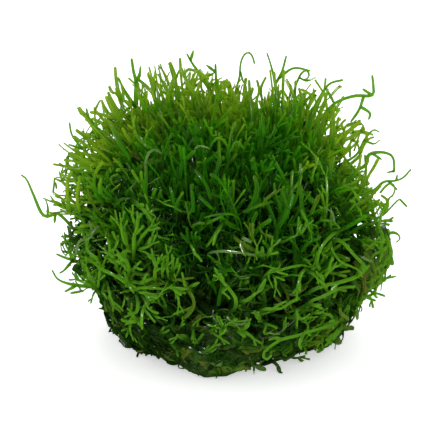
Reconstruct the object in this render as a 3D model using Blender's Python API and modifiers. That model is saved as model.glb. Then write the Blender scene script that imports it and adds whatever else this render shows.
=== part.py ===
"""A loose clump of crystalwort (Riccia fluitans), an aquarium liverwort, as lifted out of the water.

Metres, +Z up. The origin is the centre of the flat spot that the clump rests on.
+X is to the right and -Y towards a viewer who stands in front of the clump.
Run with: blender --background --python part.py
"""

import math
import random

import bmesh
import bpy
from mathutils import Matrix, Vector, noise
from mathutils.bvhtree import BVHTree

MM = 0.001
WELD = 0.001 * MM

# The matted mass: radius and height along its outline in millimetres, top to bottom
MAT_OUTLINE = (
    (0.0, 57.4),
    (9.0, 56.6),
    (17.5, 53.4),
    (24.8, 47.6),
    (29.6, 39.6),
    (31.8, 30.0),
    (31.6, 19.5),
    (30.2, 9.5),
    (28.4, 2.8),
    (26.0, 0.0),
    (0.0, 0.0),
)
MAT_SIDES = 24
MAT_MIDDLE = Vector((0.0, 0.0, 26.0)) * MM
MAT_LUMP_HEIGHT = 2.6 * MM
MAT_LUMP_SIZE = 13 * MM
MAT_LUMP_SEED = Vector((3.1, 7.7, 1.3))

# Fused tufts: forked bunches of thalli that stand out of the matted mass
TUFT_DIRECTIONS = 73
TUFT_LOWEST = 4.5 * MM
TUFT_LENGTH = (8.8 * MM, 11.6 * MM)
TUFT_WIDTH = 7.4 * MM
TUFT_THICKNESS = 3.6 * MM
TUFT_ROOT_DEPTH = 2.6 * MM
TUFT_FORK_AT = 0.42
TUFT_FORK_ANGLE = math.radians(27)
TUFT_LEAN_ANGLE = math.radians(38)
TUFT_BOW = 0.12
TUFT_SHORT_ARM = (0.7, 0.95)
TUFT_SCALES = (1.0, 0.6, 0.16)
TUFT_CLEARANCE = 3.0 * MM
TUFT_FLOOR_GAP = 1.0 * MM
TUFT_SEED = 11

# A tuft grows out near the floor and upward on the crown, and strays from that by a share of its length
UPWARD_FROM = 14 * MM
UPWARD_BY = 48 * MM
UPWARD_PULL = (-0.1, 1.15)
TUFT_STRAY = 0.5

# Single thalli: flat ribbons that fork in two, and stand clear of the rest
THALLUS_WIDTH = 1.3 * MM
THALLUS_THICKNESS = 0.8 * MM
BRANCH_SCALE = 0.85
BRANCH_ROOT = 0.17 * MM
THALLUS_TIP_SCALE = 0.45
THALLUS_TWIST = math.radians(25)
ROUTE_STEPS = 2
SEAT_DEPTH = 3.0 * MM
SEAT_GAP = 0.4 * MM

# Nylon thread that is seen where it bridges a hollow, low on the front
THREAD_DIAMETER = 0.3 * MM
THREAD_STEPS = 3

TUFT_GREEN = (0.055, 0.185, 0.012, 1.0)
THALLUS_GREEN = (0.13, 0.36, 0.02, 1.0)
THREAD_PALE = (0.55, 0.60, 0.50, 1.0)

# Each thallus that stands clear: its stem, then its side branches, as (x, y, z) in millimetres.
# A stem starts where it leaves the matted mass, and a branch starts on its stem.
THALLI = {
    "thallus_left_stray": [
        [(-37.0, -2.0, 27.0), (-40.0, -1.0, 29.6), (-42.0, -0.5, 31.0), (-44.3, 0.0, 30.0), (-45.8, 0.0, 31.0),
         (-47.6, 0.0, 35.8), (-49.0, 0.0, 39.4), (-50.3, 0.0, 40.6)],
        [(-44.3, 0.0, 30.0), (-44.2, 0.2, 32.5), (-44.8, 0.2, 34.6)],
        [(-42.4, -0.4, 30.8), (-42.6, -0.8, 28.6)],
    ],
    "thallus_left_low": [
        [(-33.5, -6.0, 14.5), (-38.0, -6.5, 15.0), (-41.5, -7.0, 16.5), (-43.0, -7.0, 19.0)],
        [(-37.0, -6.3, 14.9), (-40.0, -8.0, 13.8)],
    ],
    "thallus_left_fan": [
        [(-35.5, -4.0, 20.0), (-39.0, -5.0, 21.0), (-42.0, -5.5, 22.5)],
        [(-38.0, -4.7, 20.8), (-40.0, -7.0, 19.0), (-41.2, -7.6, 18.4)],
    ],
    "thallus_left_shoulder": [
        [(-32.5, 3.0, 43.0), (-35.5, 3.0, 46.0), (-38.0, 2.5, 49.5), (-38.6, 2.0, 53.0)],
        [(-35.5, 3.0, 46.0), (-39.0, 3.0, 47.2)],
    ],
    "thallus_left_crest": [
        [(-28.5, 4.0, 46.5), (-31.5, 4.0, 50.0), (-35.0, 4.0, 54.5), (-36.8, 4.0, 56.0)],
        [(-33.2, 4.0, 52.2), (-35.0, 5.0, 52.8)],
        [(-34.2, 4.0, 53.5), (-34.6, 3.6, 56.0)],
    ],
    "thallus_crown_left": [
        [(-22.5, 8.0, 52.0), (-24.0, 8.0, 57.0), (-24.6, 8.0, 62.0), (-24.0, 8.0, 66.0)],
        [(-23.8, 8.0, 56.0), (-26.5, 8.5, 59.0), (-27.6, 9.0, 62.5)],
        [(-24.4, 8.0, 60.0), (-22.4, 7.5, 62.0), (-21.6, 7.0, 64.8)],
    ],
    "thallus_crown_slant": [
        [(-13.0, 9.0, 55.5), (-13.6, 9.0, 60.0), (-15.0, 9.0, 65.0)],
        [(-13.8, 9.0, 61.0), (-12.6, 8.5, 64.0)],
    ],
    "thallus_crown_fork": [
        [(-4.6, 8.0, 57.5), (-7.0, 8.0, 62.0), (-9.6, 8.0, 66.0), (-10.8, 8.0, 68.2)],
        [(-9.9, 8.0, 66.6), (-9.2, 8.0, 69.0)],
        [(-7.0, 8.0, 62.0), (-4.4, 7.6, 63.5)],
    ],
    "thallus_crown_blade": [
        [(-3.4, 6.0, 57.8), (-3.8, 6.0, 62.0), (-4.0, 6.0, 66.2)],
        [(-3.9, 6.0, 64.2), (-6.2, 6.0, 66.0)],
    ],
    "thallus_crown_arch": [
        [(0.8, 9.0, 58.2), (1.7, 9.0, 62.0), (2.0, 9.0, 65.5), (2.8, 9.0, 67.6), (4.0, 9.0, 68.2), (4.9, 9.0, 67.0), (5.3, 9.0, 65.4)],
        [(1.9, 9.0, 63.6), (2.7, 8.6, 60.8)],
    ],
    "thallus_crown_cross": [
        [(10.6, 8.0, 57.0), (10.0, 8.0, 62.0), (9.0, 8.0, 66.0), (8.2, 8.0, 68.4)],
        [(10.2, 8.0, 60.5), (11.8, 7.4, 64.0), (12.8, 7.0, 68.0)],
        [(10.9, 7.8, 62.0), (14.5, 8.0, 64.6), (18.6, 8.0, 64.0)],
    ],
    "thallus_crown_curl": [
        [(15.5, 6.0, 54.8), (14.8, 6.0, 59.5), (15.8, 6.0, 62.6), (17.2, 6.0, 64.2), (18.2, 6.0, 63.0), (17.2, 6.0, 61.8),
         (19.6, 6.0, 62.2)],
    ],
    "thallus_right_bow": [
        [(18.6, 5.0, 53.8), (20.6, 5.0, 58.0), (23.0, 5.0, 61.6), (26.2, 5.0, 62.6)],
        [(22.2, 5.0, 60.6), (24.0, 4.0, 57.4), (24.6, 3.4, 55.4)],
    ],
    "thallus_right_stray": [
        [(20.6, 2.0, 53.4), (24.0, 2.0, 57.6), (28.6, 2.0, 59.5), (32.8, 2.0, 59.6), (33.2, 2.0, 61.4), (32.8, 2.0, 64.6)],
        [(32.6, 2.0, 59.9), (30.6, 1.6, 61.4)],
        [(31.0, 2.0, 59.5), (29.9, 1.7, 56.2), (28.0, 1.2, 53.4)],
        [(30.2, 1.8, 57.0), (32.4, 1.1, 55.6), (32.2, 1.0, 54.0)],
    ],
    "thallus_right_lattice": [
        [(29.6, 0.0, 45.6), (32.0, 0.0, 49.4), (34.4, 0.0, 51.6), (36.2, 0.0, 51.0)],
        [(32.0, 0.0, 49.4), (34.6, -0.8, 48.8), (36.4, -1.0, 49.4)],
    ],
    "thallus_right_hook": [
        [(31.6, -2.0, 43.8), (34.0, -2.0, 46.4), (37.0, -2.0, 46.2), (38.2, -2.0, 43.6), (37.8, -2.0, 41.8)],
        [(33.0, -2.0, 45.4), (35.6, -3.0, 44.2)],
    ],
    "thallus_right_reach": [
        [(33.4, -3.0, 36.6), (37.2, -3.0, 38.6), (40.4, -3.0, 40.2), (42.4, -3.0, 43.0)],
        [(37.6, -3.0, 38.8), (39.4, -4.0, 37.2)],
    ],
    "thallus_right_arrow": [
        [(34.4, -2.0, 30.6), (37.6, -2.0, 31.6), (39.8, -2.0, 34.6), (41.6, -2.0, 32.8)],
    ],
    "thallus_right_curl": [
        [(34.6, -4.0, 24.4), (37.6, -4.0, 26.2), (39.4, -4.0, 26.6), (40.4, -4.0, 25.0), (39.6, -4.0, 23.6)],
    ],
    "thallus_front_low": [
        [(24.0, -26.5, 13.0), (19.4, -31.6, 12.6), (14.2, -34.4, 10.6), (9.6, -35.6, 7.8), (6.8, -35.2, 7.0)],
        [(16.6, -33.4, 11.6), (14.8, -36.2, 8.0)],
    ],
    "thallus_front_hang": [
        [(-19.0, -29.0, 20.5), (-20.5, -32.5, 18.8), (-20.6, -34.6, 15.6)],
        [(-20.2, -31.8, 19.4), (-17.6, -34.4, 17.2)],
    ],
    "thallus_front_upright": [
        [(-8.5, -33.0, 24.0), (-10.5, -36.4, 26.6), (-11.4, -37.6, 30.6)],
        [(-10.2, -36.0, 26.2), (-7.6, -38.2, 28.4)],
    ],
    "thallus_back_long": [
        [(9.0, 32.0, 33.0), (11.0, 36.0, 36.5), (12.0, 38.6, 40.5), (11.4, 40.0, 44.0)],
        [(11.2, 36.6, 37.2), (14.4, 38.6, 38.6)],
    ],
    "thallus_back_left": [
        [(-19.0, 27.0, 38.0), (-22.0, 31.0, 41.5), (-23.4, 34.0, 45.5)],
        [(-22.0, 31.0, 41.5), (-25.2, 32.0, 42.6)],
    ],
}
THREAD_POINTS = [
    (6.0, -31.6, 12.4), (8.6, -34.2, 13.6), (12.0, -34.8, 16.2), (15.0, -33.0, 18.8),
]


def clear_scene():
    for obj in list(bpy.data.objects):
        bpy.data.objects.remove(obj, do_unlink=True)


def new_collection(name):
    collection = bpy.data.collections.new(name)
    bpy.context.scene.collection.children.link(collection)
    return collection


def plant_material(name, colour, roughness):
    material = bpy.data.materials.new(name)
    material.use_nodes = True
    shader = material.node_tree.nodes["Principled BSDF"]
    shader.inputs["Base Color"].default_value = colour
    shader.inputs["Roughness"].default_value = roughness
    shader.inputs["Metallic"].default_value = 0.0
    material.diffuse_color = colour
    return material


def add_object(name, mesh, collection, material=None):
    obj = bpy.data.objects.new(name, mesh)
    collection.objects.link(obj)
    if material:
        obj.data.materials.clear()
        obj.data.materials.append(material)
    return obj


def helper_object(name, data, helpers):
    """A cutter or guide, which no render shows."""
    obj = add_object(name, data, helpers)
    obj.hide_render = True
    obj.display_type = "WIRE"
    return obj


def weld_and_face_out(mesh):
    work = bmesh.new()
    work.from_mesh(mesh)
    bmesh.ops.remove_doubles(work, verts=work.verts, dist=WELD)
    bmesh.ops.recalc_face_normals(work, faces=work.faces)
    work.to_mesh(mesh)
    work.free()


def joined(name, meshes):
    """One mesh that holds all the given ones, still as separate shells."""
    work = bmesh.new()
    for mesh in meshes:
        work.from_mesh(mesh)
    whole = bpy.data.meshes.new(name)
    work.to_mesh(whole)
    work.free()
    return whole


def evaluated_mesh(obj):
    graph = bpy.context.evaluated_depsgraph_get()
    return bpy.data.meshes.new_from_object(obj.evaluated_get(graph))


def boolean(obj, tool, operation):
    """Applies one exact Boolean to obj, with shells of either mesh free to cross each other."""
    modifier = obj.modifiers.new(operation.lower(), "BOOLEAN")
    modifier.operation = operation
    modifier.object = tool
    modifier.use_self = True
    result = evaluated_mesh(obj)
    obj.modifiers.clear()
    obj.data = result


def drop_crumbs(mesh):
    """Removes the loose tips that a pocket cut off, and keeps the one large body."""
    work = bmesh.new()
    work.from_mesh(mesh)
    unseen = set(work.verts)
    bodies = []
    while unseen:
        body = {unseen.pop()}
        front = list(body)
        while front:
            vertex = front.pop()
            near = {edge.other_vert(vertex) for edge in vertex.link_edges} & unseen
            unseen -= near
            body |= near
            front.extend(near)
        bodies.append(body)
    bodies.sort(key=len)
    bmesh.ops.delete(work, geom=[vertex for body in bodies[:-1] for vertex in body], context="VERTS")
    work.to_mesh(mesh)
    work.free()


def ribbon_profile(name, width, thickness, helpers):
    """The cross-section of a flat ribbon with a low keel on each side, to bevel a curve with."""
    curve = bpy.data.curves.new(name, "CURVE")
    curve.dimensions = "2D"
    spline = curve.splines.new("POLY")
    corners = [(width / 2, 0), (0, thickness / 2), (-width / 2, 0), (0, -thickness / 2)]
    spline.points.add(len(corners) - 1)
    for point, (across, up) in zip(spline.points, corners):
        point.co = (across, up, 0, 1)
    spline.use_cyclic_u = True
    return helper_object(name, curve, helpers)


def curve_mesh(points, scales, tilt=0.0, profile=None, radius=0.0):
    """A closed mesh swept along the points, with the profile's section or else a round one."""
    curve = bpy.data.curves.new("sweep", "CURVE")
    curve.dimensions = "3D"
    curve.use_fill_caps = True
    if profile:
        curve.bevel_mode = "OBJECT"
        curve.bevel_object = profile
    else:
        curve.bevel_depth = radius
        curve.bevel_resolution = 1
    spline = curve.splines.new("POLY")
    spline.points.add(len(points) - 1)
    for target, point, scale in zip(spline.points, points, scales):
        target.co = (*point, 1)
        target.radius = scale
        target.tilt = tilt
    holder = bpy.data.objects.new("sweep", curve)
    bpy.context.scene.collection.objects.link(holder)
    mesh = evaluated_mesh(holder)
    bpy.data.objects.remove(holder)
    weld_and_face_out(mesh)
    return mesh


def smooth_route(points, steps):
    """Points on a Catmull-Rom curve through the given ones, with so many steps between two."""
    route = []
    for i in range(len(points) - 1):
        before = points[max(i - 1, 0)]
        here, there = points[i], points[i + 1]
        after = points[min(i + 2, len(points) - 1)]
        for k in range(steps):
            t = k / steps
            pull = (there - before) * t
            bend = (2 * before - 5 * here + 4 * there - after) * t**2
            swing = (3 * here - before - 3 * there + after) * t**3
            route.append(here + (pull + bend + swing) / 2)
    return route + [points[-1]]


def lengthened(points, extra):
    """The same route, a little longer at its first end."""
    return [points[0] + (points[0] - points[1]).normalized() * extra] + points[1:]


def matted_mass(collection, material):
    """The dense tangle: a turned form with a flat spot below, made uneven like felted plants."""
    outline = bpy.data.meshes.new("cushion")
    corners = [(radius * MM, 0, height * MM) for radius, height in MAT_OUTLINE]
    outline.from_pydata(corners, [(i, i + 1) for i in range(len(corners) - 1)], [])
    obj = add_object("cushion", outline, collection)
    turn = obj.modifiers.new("turn", "SCREW")
    turn.steps = turn.render_steps = MAT_SIDES
    turn.use_merge_vertices = True
    turn.merge_threshold = WELD
    obj.data = evaluated_mesh(obj)
    obj.modifiers.clear()
    weld_and_face_out(obj.data)
    for vertex in obj.data.vertices:
        if vertex.co.z > WELD:
            lump = noise.noise(vertex.co / MAT_LUMP_SIZE + MAT_LUMP_SEED)
            vertex.co += (vertex.co - MAT_MIDDLE).normalized() * lump * MAT_LUMP_HEIGHT
    obj.data.materials.append(material)
    return obj


def mesh_surface(obj):
    corners = [vertex.co for vertex in obj.data.vertices]
    return BVHTree.FromPolygons(corners, [tuple(face.vertices) for face in obj.data.polygons])


def seat_below(point, surface):
    """The place in the mass, under the point, that a thallus or thread is rooted in."""
    outward = (point - MAT_MIDDLE).normalized()
    place = surface.ray_cast(MAT_MIDDLE, outward)[0]
    depth = min((place - MAT_MIDDLE).length, (point - MAT_MIDDLE).length) - SEAT_DEPTH
    return MAT_MIDDLE + outward * depth


def thallus_routes(lines, surface):
    """Smooth points along a thallus's stem, from its seat in the mass, and along its branches."""
    routes = []
    for number, line in enumerate(lines):
        points = [Vector(point) * MM for point in line]
        if number == 0:
            points.insert(0, seat_below(points[0], surface))
        routes.append(smooth_route(points, ROUTE_STEPS))
    return routes


def thallus_shells(routes, profile, tilt, grow=0.0):
    """One closed ribbon for the stem and one for each branch, each narrower at its tip."""
    for number, route in enumerate(routes):
        points = lengthened(route, grow if number == 0 else BRANCH_ROOT)
        scales = [1.0 if number == 0 else BRANCH_SCALE] * (len(points) - 1)
        yield curve_mesh(points, scales + [THALLUS_TIP_SCALE], tilt, profile)


def single_thallus(name, routes, profile, tilt, collection, material):
    stem, *branches = thallus_shells(routes, profile, tilt)
    obj = add_object(name, stem, collection)
    for branch in branches:
        tool = add_object(name + "_branch", branch, collection)
        boolean(obj, tool, "UNION")
        bpy.data.objects.remove(tool)
    obj.data.materials.append(material)
    return obj


def thread_route(surface):
    points = [Vector(point) * MM for point in THREAD_POINTS]
    ends = seat_below(points[0], surface), seat_below(points[-1], surface)
    return smooth_route([ends[0], *points, ends[1]], THREAD_STEPS)


def thread_shell(route, grow=0.0):
    points = lengthened(lengthened(route, grow)[::-1], grow)
    return curve_mesh(points, [1.0] * len(points), radius=THREAD_DIAMETER / 2 + grow)


def spiral_directions(count):
    """Directions spread evenly over a sphere, on a golden-angle spiral."""
    golden = math.pi * (3 - math.sqrt(5))
    for i in range(count):
        height = 1 - 2 * (i + 0.5) / count
        ring = math.sqrt(1 - height**2)
        yield Vector((ring * math.cos(i * golden), ring * math.sin(i * golden), height))


def tuft_axis(normal, place, chance):
    share = min(max((place.z - UPWARD_FROM) / (UPWARD_BY - UPWARD_FROM), 0), 1)
    upward = UPWARD_PULL[0] + share * (UPWARD_PULL[1] - UPWARD_PULL[0])
    stray = Vector([chance.uniform(-TUFT_STRAY, TUFT_STRAY) for _ in range(3)])
    return (normal + Vector((0, 0, upward)) + stray).normalized()


def tuft_shells(root, axis, length, profile, chance):
    """A ribbon that forks in two, and a third one that leans away from the same root."""
    side = axis.orthogonal().normalized()
    side.rotate(Matrix.Rotation(chance.uniform(0, math.tau), 3, axis))
    across = axis.cross(side)
    start = root - axis * TUFT_ROOT_DEPTH
    fork = root + axis * length * TUFT_FORK_AT + across * length * chance.uniform(-TUFT_BOW, TUFT_BOW)
    arm = length * (1 - TUFT_FORK_AT)
    left = axis * math.cos(TUFT_FORK_ANGLE) + side * math.sin(TUFT_FORK_ANGLE)
    right = axis * math.cos(TUFT_FORK_ANGLE) - side * math.sin(TUFT_FORK_ANGLE)
    lean = axis * math.cos(TUFT_LEAN_ANGLE) + across * math.sin(TUFT_LEAN_ANGLE)
    base, middle, tip = TUFT_SCALES
    lines = [
        ([start, fork, fork + left * arm], [base, middle, tip]),
        ([fork - axis * TUFT_BOW * length, fork + right * arm * chance.uniform(*TUFT_SHORT_ARM)], [middle, tip]),
        ([start, root + lean * length], [base, tip]),
    ]
    tilt = chance.uniform(0, math.pi)
    for points, scales in lines:
        lowest = min(point.z for point in points[1:])
        lift = Vector((0, 0, max(TUFT_FLOOR_GAP - lowest, 0)))
        yield curve_mesh(points[:1] + [point + lift for point in points[1:]], scales, tilt, profile)


def tuft_meshes(surface, routes, profile):
    """The fused tufts, spread over the mass but clear of the single thalli and the thread."""
    chance = random.Random(TUFT_SEED)
    shells = []
    for direction in spiral_directions(TUFT_DIRECTIONS):
        place, normal, _, _ = surface.ray_cast(MAT_MIDDLE, direction)
        length = chance.uniform(*TUFT_LENGTH)
        axis = tuft_axis(normal, place, chance)
        reach = [place + axis * length * share for share in (0, TUFT_FORK_AT, 2 * TUFT_FORK_AT)]
        clear = min((a - b).length for a in reach for route in routes for b in route) > TUFT_CLEARANCE
        if place.z > TUFT_LOWEST and clear:
            shells.extend(tuft_shells(place, axis, length, profile, chance))
    return shells


def main():
    clear_scene()
    clump = new_collection("crystalwort")
    helpers = new_collection("cutters")
    tuft_green = plant_material("tuft_green", TUFT_GREEN, 0.45)
    thallus_green = plant_material("thallus_green", THALLUS_GREEN, 0.4)
    thread_pale = plant_material("thread_pale", THREAD_PALE, 0.25)
    tuft_profile = ribbon_profile("tuft_profile", TUFT_WIDTH, TUFT_THICKNESS, helpers)
    thin_profile = ribbon_profile("thallus_profile", THALLUS_WIDTH, THALLUS_THICKNESS, helpers)
    seat_size = THALLUS_WIDTH + 2 * SEAT_GAP, THALLUS_THICKNESS + 2 * SEAT_GAP
    seat_profile = ribbon_profile("seat_profile", *seat_size, helpers)

    mass = matted_mass(clump, tuft_green)
    surface = mesh_surface(mass)
    thread = thread_route(surface)
    add_object("thread", thread_shell(thread), clump, thread_pale)
    seats = [thread_shell(thread, SEAT_GAP)]
    every_route = [thread]
    for number, (name, lines) in enumerate(THALLI.items()):
        routes = thallus_routes(lines, surface)
        tilt = THALLUS_TWIST * number
        single_thallus(name, routes, thin_profile, tilt, clump, thallus_green)
        seats.extend(thallus_shells(routes, seat_profile, tilt, SEAT_GAP))
        every_route.extend(routes)

    tufts = joined("tufts", tuft_meshes(surface, every_route, tuft_profile))
    boolean(mass, helper_object("tufts", tufts, helpers), "UNION")
    boolean(mass, helper_object("seats", joined("seats", seats), helpers), "DIFFERENCE")
    drop_crumbs(mass.data)
    mass.data.materials.clear()
    mass.data.materials.append(tuft_green)


main()
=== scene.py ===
"""The looks of a clump of crystalwort (Riccia fluitans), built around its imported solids.

The clump is grown thallus by thallus: flat ribbons that fork in two again and again. They stand upright on
the crown, tangle on the flanks and lie pressed in dark mats below. The single thalli that stand clear lie
over their solids. Lengths are in millimetres, apart from what goes into the scene, which is in metres.
"""

import math
from types import SimpleNamespace

import bpy
import numpy as np
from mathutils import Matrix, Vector


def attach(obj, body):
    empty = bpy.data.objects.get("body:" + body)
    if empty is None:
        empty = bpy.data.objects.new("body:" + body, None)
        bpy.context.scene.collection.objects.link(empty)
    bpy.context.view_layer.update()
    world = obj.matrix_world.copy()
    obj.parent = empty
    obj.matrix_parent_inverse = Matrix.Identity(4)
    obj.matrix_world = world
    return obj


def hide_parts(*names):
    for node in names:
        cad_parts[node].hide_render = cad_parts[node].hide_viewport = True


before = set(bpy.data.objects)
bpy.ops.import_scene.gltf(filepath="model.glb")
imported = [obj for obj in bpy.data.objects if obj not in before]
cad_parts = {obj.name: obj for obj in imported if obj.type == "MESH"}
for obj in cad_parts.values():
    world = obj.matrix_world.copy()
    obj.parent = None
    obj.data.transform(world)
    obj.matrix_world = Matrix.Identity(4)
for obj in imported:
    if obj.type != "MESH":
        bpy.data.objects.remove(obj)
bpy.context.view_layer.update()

MM = 0.001
SEED = 20

# Camera: the photograph's angle and framing
IMAGE_PIXELS = 430
MM_PER_PIXEL = 0.24
CAMERA_ELEVATION = math.radians(20)
CAMERA_DISTANCE = 450
CAMERA_AIM = (-4.1, 0.0, 30.4)
SENSOR_WIDTH = 36

# The matted mass that the thalli stand out of: radius and height along its outline, bottom to top
MAT_OUTLINE = np.array([
    (0.0, 0.0),
    (26.0, 0.0),
    (28.4, 2.8),
    (30.2, 9.5),
    (31.6, 19.5),
    (31.8, 30.0),
    (29.6, 39.6),
    (24.8, 47.6),
    (17.5, 53.4),
    (9.0, 56.6),
    (0.0, 57.4),
])
MAT_MIDDLE = np.array((0.0, 0.0, 26.0))

# Lumps of the mat: their height, and their size and phase
MAT_LUMP_HEIGHT = 1.2
MAT_LUMPS = (5.0, 0.7)
# Nearer than this, a place counts as on the mat
ON_SURFACE = 0.3
OUTLINE_STEPS = 400

# How far the tips reach past the mat, by height
REACH_HEIGHTS = (0.0, 5.0, 12.0, 24.0, 45.0, 60.0)
REACH = (0.2, 0.9, 3.2, 7.4, 8.9, 10.4)
MOST_REACH = 1.08

# How far the outline swells past the turned form, every 30 degrees in the plane of the photograph
SWELL_ANGLES = np.radians(np.arange(0, 360, 30))
SWELL = (0.2, -7.0, 0.8, -4.8, 3.6, 4.4, 4.6, 0.4, -0.4, -0.8, -1.6, -0.4)
# And its foot, seen from above, with its lowest lobe at the left of the front
BASE_ANGLES = np.radians(np.arange(15, 375, 30))
BASE_SWELL = (-1.5, -1.2, -1.0, -1.0, -0.8, 0.5, 0.5, -1.8, 1.1, -2.8, -2.6, -2.2)
# The heights between which the foot gives way to the outline above it
FOOT_HEIGHTS = (2, 14)

# Soft unevenness: for each axis its rate, and the push, rate and phase of the next axis, and its own phase
WAVES = ((1.3, 1.7, 0.9, 1, 1), (1.1, 1.5, 1.2, 2, 3), (1.2, 1.6, 1.1, -1, 5))
# Steps round and up the clump that spread any number of spots evenly
EVEN_STEPS = (0.7548776662, 0.5698402910)
# The part of a line of sight that crosses the clump, as shares of the camera's distance
SIGHT = (0.86, 1.1)
SIGHT_STEPS = 240

# Growth: how far plants lean, and how their length varies over the clump
LEAN_PLACES = (-31, -24, -16, 14, 32)
LEAN = (1.3, 0.6, 0.3, 0.25, 0.9)
LEAN_DRAW = (0.8, 1.15)
LOW_LEAN = 1.3
LENGTH_LUMPS = (2.6, 2.3)
LEAST_RISE = 0.6
BLADE_HEIGHTS = (34, 47)
LONGEST_BLADE = (12.0, 21.0)
SWAY = (-0.6, 1.6)
# Where ribbons lie pressed on the mat, and how deep on its underside
PRESSED_LEVEL = 0.25
UNDERSIDE = (0.3, 0.9)
UNDERSIDE_DEPTH = 1.2
FACE_KEPT = 0.25
# How ribbons turn back from the limit of their reach, and up from the floor
BLADE_SLACK = 1.5
TURN_BACK = (-1.2, 0.6)
PUSH_BACK = 0.7
NEAR_FLOOR = 2.5
FLOOR_LIFT = 1.4
FLOOR_GAP = 0.2
UP = np.array((0.0, 0.0, 1.0))

# A ribbon's section, from its edge round: flat above, with a low keel below
SECTION = ((1, 0.1), (0.55, 0.9), (-0.55, 0.9), (-1, 0.1), (0, -0.9))
# And of those that are seen one by one, with a groove along the middle of each face
GROOVED_SECTION = ((1, 0), (0.62, 1), (0, 0.3), (-0.62, 1), (-1, 0), (-0.62, -1), (0, -0.3), (0.62, -1))
# A ribbon's ends, as shares of its width: round, blunt, pointed, or flared where it forks
ROUND_END = 0.35
BLUNT_END = 0.68
LAID_BLUNT_END = 0.66
LAST_RING = 0.99
POINTED = 0.5
FLARE = 0.14
FLARE_FROM = 0.6
ROOT_WIDTH = 0.86
ROOT_WIDENS = 0.14
ROOT_UNTIL = 0.3
ROOT_CAP = 0.2
TIP_CAP = 0.3
MOST_ALONG = 1.2
THINS_OUT = 0.4
# Where a ribbon forks: how far its branches lift, stand apart, overlap it and are narrower
FORK_LIFT = 0.14
FORK_APART = 0.24
FORK_OVERLAP = 0.3
FORK_WIDTHS = (0.84, 0.98)
# A ribbon's cell in its texture: the share that its ends take, and the margin round it
CELL_ENDS = 0.08
CELL_MARGIN = 0.06

# Ribbons that are laid one by one: their faces, their rings, and how they turn, swell and taper
THALLUS_FACE = (0.0, -1.0, 0.2)
FRONT_FACE = (0.0, -1.0, 0.35)
LAID_THICK = 0.2
LEAST_THICK = 0.1
ROUTE_STEPS = 12
LAID_RINGS = 13
SINGLE_RINGS = 28
SPRIG_RINGS = 6
SPRIG_SPACING = 3.0
END_FORK_LENGTHS = (1.1, 2.6)
SPRIG_LENGTHS = (1.6, 3.2)
SPRIG_PLACES = (3, LAID_RINGS - 2)
SPRIG_WIDTH = 0.9
SPRIG_LIFT = 0.25
SPRIG_BEND = 0.6
SPRIG_TURN = 0.5
SPRIG_END = 0.5
SPRIG_ALONG = (0.5, 0.6)
TIP_RISEN = 0.6
START_FRESH = 0.3
START_SHADE_AND_AGE = 0.2
TURN_ALONG = 0.7
TURN_WHOLE = 0.4
FACE_SCATTER = 0.25
LITTLE_TURNING = 0.3
TAPER_FROM = 0.45
TAPER_TO = 1.05
UNEVEN_WIDTH = 0.1
UNEVEN_WAVES = 9
UNEVEN_PHASES = (0, 6)
# How far back a blade may stand that the photograph shows clear of the outline, by its tip's depth
BEHIND_OUTLINE = 13.0
CLEAR_OF_OUTLINE = (9.5, 11.5)

# Draws of their own, so that a change to one kind of ribbon leaves the others as they are
SINGLE_SEED = 50
FRONT_SEED = 60
DEPTH_SEED = 61

# The single thalli and the thread
THALLUS_WIDTH = 1.05
USUAL_SHARE = 0.88
BRANCH_SHARE = 0.85
SINGLE_TAPER = 0.35
SINGLE_TURNING = 0.9
SINGLE_FRESH = 0.25
SINGLE_FRESH_ALONG = (0.2, 0.9)
SEAT_DEPTH = 5.0
THREAD_WIDTH = 0.12

# The pressed pad, with ribbons that show in it as ridges: how many round it, their slope and their waves
PAD_SIDES = 240
PAD_ROWS = 44
PAD_START = 0.4
PAD_HEIGHT = 12.0
PAD_LEVEL = 0.1
PAD_RIDGES = 0.4
PAD_INNER = (0.8, 0.8, 1.0)
RIDGES = ((38, 0.5, 0.3), (31, -0.9, 2.1), (47, 0.2, 4.0), (26, 1.4, 5.2))
RIDGE_WAVES = (2.2, 5, 0.6)
RIDGE_LUMPS = 3.0
RIDGE_UNEVEN = 0.4
RIDGE_SIDES = (0.3, 0.9)
RIDGE_FRESH = 0.35
PAD_DARKER = 0.1
PAD_ALONG = 0.4
PAD_DEPTH = 1.0

# Brightness of the growth: its lumps, the young growth and painted light that lying ribbons have more towards
# their tips where the base lies in shade, and the painted light that lifts the shade of the tangle under the
# crown
LIGHT_UNEVEN = 0.12
LIGHT_LUMPS = (4.0, 1.1)
LYING_FRESH_AND_PAINTED_LIGHT = 0.5
LYING_FRESH_AND_PAINTED_LIGHT_ALONG = (0.2, 1.0)
UNDER_CROWN_PAINTED_LIGHT = 0.65
UNDER_CROWN_HEIGHTS = (32, 46)

# Lights
BRIGHT_SIDE = (0.0, 0.8, 0.6)
WORLD_RANGE = (-0.6, 0.9)
WORLD_STRENGTH = (0.95, 1.05)
BACK_LIGHT = SimpleNamespace(place=(-40, 460, 300), size=320, watts=0.5)
GLINT_LIGHT = SimpleNamespace(place=(-150, -260, 380), size=60, watts=2.2)
LIGHT_AIM = (0, 0, 30)
FLOOR_SIZE = 6.0
FLOOR_GLOW = 0.5

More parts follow.
